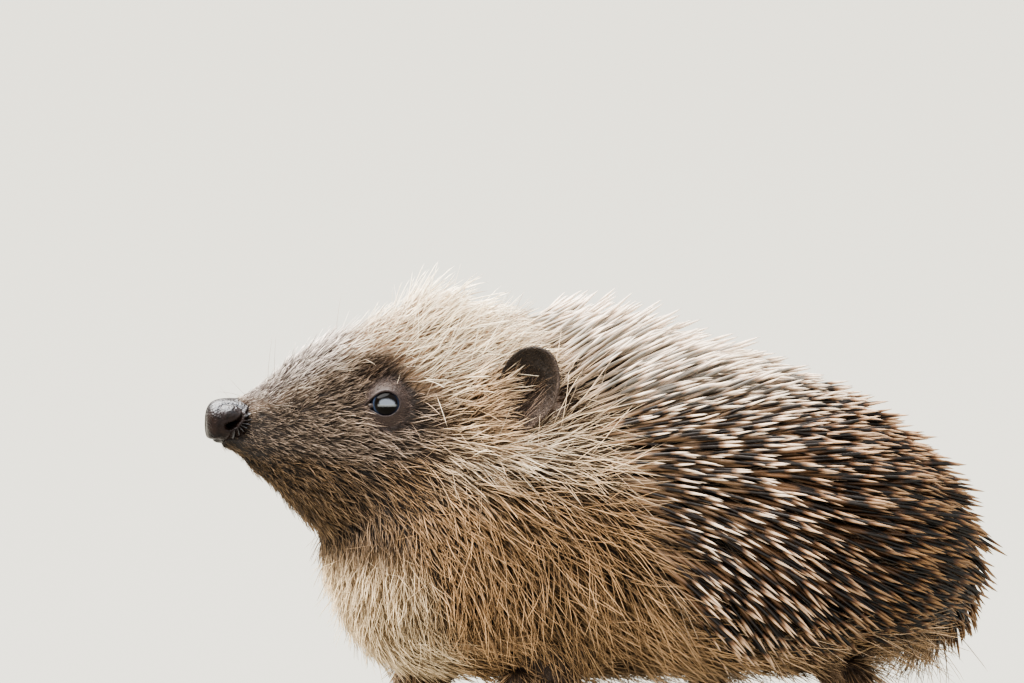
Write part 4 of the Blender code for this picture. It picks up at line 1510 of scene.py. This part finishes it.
# %% [markdown]
# Growing the coat is then a list of orders: which strands, over which part of the skin, how far apart, and
# how tidy. The larger orders are filled once for the left half and once for the right, so that no piece
# gets too heavy. Where two lengths of hair meet, both grow thinner, and the change doesn't show.


# %% Filling an order
def side_of(points):
    """Positive on the left half of the animal, head or body."""
    back, side, _ = face_distances(points)
    return mix(side, -points[:, 1] / MM, fade(back, 45, 75))


MOST_ROOTS = 2.2e6  # for each square metre, at a spacing of one millimetre
coat = []


def grow(
    name, ground, share, length, way, kind, material, spacing, seed,
    stray, lock_spacing, lock_pull, uneven=0.3,
):  # fmt: skip
    """Fills one order and adds the finished piece to the coat. Lengths and spacings are in millimetres."""
    mesh = ground.data.copy()
    store(mesh, "grow", share)
    store(mesh, "size", length * MM)
    store(mesh, "lie", way)
    bed = new_object(name + "_bed", mesh)
    modifier = bed.modifiers.new("Coat", "NODES")
    modifier.node_group = COAT
    strands = STRANDS[kind]
    values = {
        "Strands": strands, "Shapes": len(strands.objects), "Finish": material, "Seed": seed,
        "Spacing": spacing * MM, "Most Roots": MOST_ROOTS / spacing**2, "Stray": stray, "Uneven": uneven,
        "Lock Spacing": lock_spacing * MM, "Lock Pull": lock_pull,
    }  # fmt: skip
    for socket in COAT.interface.items_tree:
        if socket.name in values:
            modifier[socket.identifier] = values[socket.name]
    graph = bpy.context.evaluated_depsgraph_get()
    grown = bpy.data.meshes.new_from_object(bed.evaluated_get(graph))
    bed.modifiers.clear()
    bpy.data.objects.remove(bed)
    bpy.data.meshes.remove(mesh)
    grown.name = name
    piece = new_object(name, grown)
    coat.append(piece)
    print(f"{name}: {triangles(piece)} triangles")


def grow_halves(name, share, *order, **tidiness):
    """Fills one order for the skin's left half and again for its right."""
    for word, half in (("left", on_left > 0), ("right", on_left <= 0)):
        grow(f"{name}_{word}", skin, share * half, *order, **tidiness)


# %% [markdown]
# Hair stops short of the wet edge of the lids, the nose pad, the soles and the inside of the ears. These
# bare places are worked out once, as shares from 0 to 1 at the skin's points, and each order multiplies
# them in. Close to them the hair is velvet, so that the coat thins out instead of ending at a line.

# %% Where the coat is bare or velvety, and how pale, lit or shaded its spines are
points, normals = read_points(skin.data), read_normals(skin.data)
back, side, height = face_distances(points)
height_z = points[:, 2] / MM
on_left = side_of(points)
length = hair_length(points)
covered = spiny(points)
bare = np.zeros(len(points))
for eye_side, _ in SIDES:
    centre, out_way, nosewards, lidwards = eye_axes(eye_side)
    x, y, out = distances(points, centre, nosewards, lidwards, out_way)
    past_lids = np.hypot(x, y) - opening_reach(np.arctan2(y, x))
    bare = np.maximum(bare, fade(past_lids, 0.75, 0.45) * (out > -1))
in_nose = far_from(points, middle("nose")) < 4.3
sole = ((normals[:, 2] < -0.5) & (height_z < 6)) | (height_z < 1.2)
was_pressed = np.empty(len(points))
skin.data.attributes["pressed"].data.foreach_get("value", was_pressed)
open_ear = np.zeros(len(points))
by_ear = np.zeros(len(points))
for ear_side, _ in SIDES:
    rear, up, out = ear_distances(points, ear_side)
    inside = fade(ear_share(rear, up), 1.0, 0.93) * (np.abs(out + 1) < EAR_HOLLOW)
    under_cup = (ear_share(rear, up) < 1.05) * fade(was_pressed, 0.8, 2.2)
    open_ear = np.maximum(open_ear, np.maximum(inside, under_cup))
    by_ear = np.maximum(by_ear, (ear_share(rear, up) < 1.05) * (out > -EAR_BACK) * (out < 14))
skin_free = (1 - bare) * ~in_nose * ~sole * (1 - open_ear)
haired = skin_free * (1 - fade(covered, 0.4, 0.95) * mix(0.6, 1.0, fade(back, 52, 70)))
hair_flow = hair_heading(points)
# Under the body, where falling hair would spread like a star, it lies level and runs to the rear.
hair_flow[:, 2] *= 1 - fade(normals[:, 2], -0.15, -0.7) * fade(points[:, 0] / MM, 50, 25)
hair_way = lie(hair_flow, normals, hair_lift(points))
eye_ring = regions(points)["eye"] * fade(bare, 0.6, 0.2)
velvety = np.maximum(eye_ring, fade(back, 11, 8.5) * ~in_nose * (height > -5))
velvety = np.maximum(velvety, fade(height_z, 7, 5)) * ~sole
# pale is the spines' own paleness towards the head, raised high on the back as painted light from above; low
# on the rump it goes below 0, for painted shade.
pale = np.maximum(0.95 * fade(back, 76, 50), 0.8 * fade(height_z, 54, 80) * fade(back, 145, 90))
pale = np.maximum(pale, 0.22 * fade(height_z, 34, 48) * fade(back, 120, 90))
store(skin.data, "pale", pale - fade(back, 88, 120) * fade(height_z, 70, 46))
print("hair length, mm:", round(length.min(), 1), "to", round(length.max(), 1))

# %% Orders for the coat
# Each tells its name, share, length, lie, kind of strand, finish, spacing and seed, and how tidy it is.
grow_halves(
    "velvet", np.maximum(velvety, 0.7 * haired * fade(length, 4.6, 3.6)), np.clip(length * 0.55, 1.0, 1.6),
    hair_way, "velvet", SHORT_HAIR, 0.33, 5, stray=0.35, lock_spacing=2.0, lock_pull=0.2,
)  # fmt: skip
grow_halves(
    "short_fur", haired * fade(length, 5.8, 4.4) * fade(length, 0.9, 1.3), length, hair_way,
    "short_hair", SHORT_HAIR, 0.28, 11, stray=0.34, lock_spacing=2.4, lock_pull=0.25,
)  # fmt: skip
grow_halves(
    "under_fur", skin_free * (1 - 0.5 * covered) * fade(length, 4.0, 5.6), length * 0.55, hair_way,
    "under_hair", UNDER_HAIR, 0.52, 17, stray=0.25, lock_spacing=4.0, lock_pull=0.5,
)  # fmt: skip
grow_halves(
    "mid_fur", haired * fade(length, 4.2, 5.6) * fade(length, 11.0, 9.0), length, hair_way,
    "mid_hair", LONG_HAIR, 0.48, 23, stray=0.34, lock_spacing=3.5, lock_pull=0.5,
)  # fmt: skip
grow_halves(
    "long_fur", haired * fade(length, 8.6, 10.6), length, hair_way,
    "long_hair", LONG_HAIR, 0.62, 37, stray=0.52, lock_spacing=6.0, lock_pull=0.55,
)  # fmt: skip
grow_halves(
    "outer_fur", haired * fade(length, 4.6, 6.0) * fade(height_z, 20, 32) * (1 - by_ear),
    np.minimum(length * 1.1, 13.0), hair_way,
    "long_hair", OUTER_HAIR, 1.15, 43, stray=0.7, lock_spacing=6.0, lock_pull=0.0,
)  # fmt: skip
crown = fade(back, 35, 38) * fade(back, 51, 47) * fade(height, 14, 17) * (1 - by_ear)
grow(
    "crown_tufts", skin, crown, np.interp(back, [34, 44, 56], [7.0, 11.0, 11.0]),
    lie(hair_flow, normals, np.full(len(points), 42.0)),
    "mid_hair", OUTER_HAIR, 1.0, 61, stray=0.16, uneven=0.5, lock_spacing=3.6, lock_pull=1.0,
)  # fmt: skip
lip = fade(np.hypot((back - 14) / 6.5, (height - 0.5 + 0.35 * (back - 14)) / 4.5), 1.0, 0.8)
over_eye = fade(np.hypot(back - 27, height - 12) / 1.8, 1.0, 0.8)
whiskered = np.maximum(lip * (np.abs(side) > 2), over_eye) * (bare < 0.1)
whisker_way = unit(points - np.array(middle("nose"))) * 0.25 + LEFT * (np.sign(side) * 0.75)[:, None]
grow(
    "whiskers", skin, whiskered, np.interp(back, [8, 16, 27], [11.0, 17.0, 14.0]),
    unit(whisker_way + UPWARD * 0.75 + AHEAD * 0.15),
    "whisker", WHISKER_HAIR, 1.9, 71, stray=0.5, uneven=0.4, lock_spacing=9, lock_pull=0.0,
)  # fmt: skip
for cup, (ear_side, word) in zip(ears, SIDES):
    spots, outward = read_points(cup.data), read_normals(cup.data)
    centre, facing, rear, tall = ear_axes(ear_side)
    flow = np.tile(np.array(tall * 0.8 + rear * 0.5), (len(spots), 1))
    full = np.ones(len(spots))
    grow(
        "ear_fuzz_" + word, cup, full, full * 1.1, lie(flow, outward, full * 24.0),
        "velvet", SHORT_HAIR, 0.36, 53, stray=0.3, lock_spacing=2, lock_pull=0.1,
    )  # fmt: skip
    across, up, out = ear_distances(spots, ear_side)
    mouth = (outward @ np.array(facing) > 0.2) * fade(across, 2.5, -1.0) * fade(up, 3.0, -1.0)
    grow(
        "ear_hair_" + word, cup, mouth, full * 6.5, lie(flow, outward, full * 22.0),
        "long_hair", EAR_HAIR, 0.62, 57, stray=0.25, lock_spacing=4, lock_pull=0.2,
    )  # fmt: skip
grow_halves(
    "spines", fade(covered, 0.25, 0.75) * (1 - by_ear), spine_length(points),
    lie(spine_heading(points), normals, spine_lift(points)),
    "spine", SPINE_HORN, 1.32, 41, stray=0.13, uneven=0.22, lock_spacing=8, lock_pull=0.1,
)  # fmt: skip
print("coat:", sum(triangles(piece) for piece in coat), "triangles in", len(coat), "pieces")

# %% [markdown]
# The studio is a wide pale floor under an even sky, so that no horizon or wall shows behind the animal. Most
# of the light falls softly from above, as from an overcast sky, which brightens the brow and the back and
# leaves the throat dark. A broad soft box on the animal's left fills its face and gives the eye its window.


# %% Studio
def floor_finish():
    made, _, shader = finish("pale_floor", roughness=0.85, specular_ior_level=0.2)
    shader.inputs["Base Color"].default_value = (*paint(150, 150, 144), 1)
    return made


def wide_floor(radius, sides):
    bm = bmesh.new()
    turns = np.linspace(0, math.tau, sides + 1)[:-1]
    bm.faces.new([bm.verts.new((radius * math.cos(turn), radius * math.sin(turn), 0)) for turn in turns])
    mesh = bpy.data.meshes.new("studio_floor")
    bm.to_mesh(mesh)
    bm.free()
    return new_object("studio_floor", mesh)


studio = wide_floor(40, 96)
dressed(studio, floor_finish())


def light(name, kind, place, aim, power, colour, **settings):
    lamp = bpy.data.lights.new(name, kind)
    lamp.energy = power
    lamp.color = colour
    for key, value in settings.items():
        setattr(lamp, key, value)
    made = new_object(name, lamp)
    made.location = place
    made.rotation_euler = (Vector(aim) - Vector(place)).to_track_quat("-Z", "Y").to_euler()


BODY_MIDDLE = Vector((0, 0, 0.045))
WINDOW_POWER, WINDOW_TINT = 125, (0.98, 0.985, 1.0)
SKY_POWER, SKY_TINT, SKY_WIDTH = 16.8, (1.0, 0.95, 0.88), math.radians(72)
light(
    "window", "AREA", (-0.85, -1.48, 1.15), BODY_MIDDLE, WINDOW_POWER, WINDOW_TINT,
    shape="RECTANGLE", size=6.4, size_y=4.0,
)  # fmt: skip
light("open_sky", "SUN", (-0.4, 0.4, 1.3), BODY_MIDDLE, SKY_POWER, SKY_TINT, angle=SKY_WIDTH)
world = bpy.data.worlds.new("studio_air")
world.use_nodes = True
air = world.node_tree.nodes["Background"].inputs
air["Color"].default_value = (0.88, 0.87, 0.85, 1)
air["Strength"].default_value = 0.74
bpy.context.scene.world = world
bpy.context.scene.view_settings.look = "AgX - Medium High Contrast"

# %% [markdown]
# The camera stands low, level with the animal's face, on its left and a little ahead of it. A long lens
# keeps the muzzle from looking swollen.

# %% Camera
AZIMUTH, ELEVATION = math.radians(-30), math.radians(3)
CAMERA_FAR = 1.5
CAMERA_LENS = 277.5
AIM_RIGHT, AIM_UP = 24.1 * MM, 11.9 * MM  # from the near eye to the middle of the view
camera_back = Vector(
    (math.sin(AZIMUTH) * math.cos(ELEVATION), -math.cos(AZIMUTH) * math.cos(ELEVATION), math.sin(ELEVATION))
)
camera_right = UP.cross(camera_back).normalized()
camera_up = camera_back.cross(camera_right)
lens = bpy.data.cameras.new("camera")
lens.lens = CAMERA_LENS
lens.clip_start = 0.05
camera = new_object("camera", lens)
camera.matrix_world = Matrix((camera_right, camera_up, camera_back)).transposed().to_4x4()
camera.location = EYE_LEFT + camera_back * CAMERA_FAR + camera_right * AIM_RIGHT + camera_up * AIM_UP
bpy.context.scene.camera = camera

# %% [markdown]
# Last, the parts of the frame that each piece stands for are hidden. Nothing on the animal moves on its own,
# so all of it rides on one body.

# %% Handing over
HEAD_NODES = ("head", "lower_jaw")
LEG_NODES = tuple(f"{part}_{word}" for part in ("foreleg", "hindleg") for _, word in SIDES)
FOOT_NODES = tuple(f"{part}_{word}" for part in ("forefoot", "hindfoot") for _, word in SIDES)
handover = [(skin, "skin", FLESH), (nose, "nose_leather", ("nose",)), (claws, "skin", FOOT_NODES)]
handover += [(obj, "eye_gloss", ("eye_" + word,)) for obj, (_, word) in zip(eyes, SIDES)]
handover += [(obj, "skin", ("head",)) for obj in lids]
handover += [(obj, "skin", ("ear_" + word,)) for obj, (_, word) in zip(ears, SIDES)]
for piece in coat:
    if piece.name.startswith("spines"):
        handover.append((piece, "spines", ("trunk",)))
    elif piece.name.startswith(("short", "velvet", "whisker")):
        handover.append((piece, "fur_dark", (*HEAD_NODES, *LEG_NODES, *FOOT_NODES)))
    elif piece.name.startswith("ear"):
        handover.append((piece, "skin", (piece.name.replace("fuzz_", "").replace("hair_", ""),)))
    else:
        handover.append((piece, "fur_pale", ("head", "neck", "trunk")))
for piece, slot_name, nodes in handover:
    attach(piece, "root")
    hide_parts(*nodes)
print("whole model:", sum(triangles(piece) for piece, _, _ in handover), "triangles")
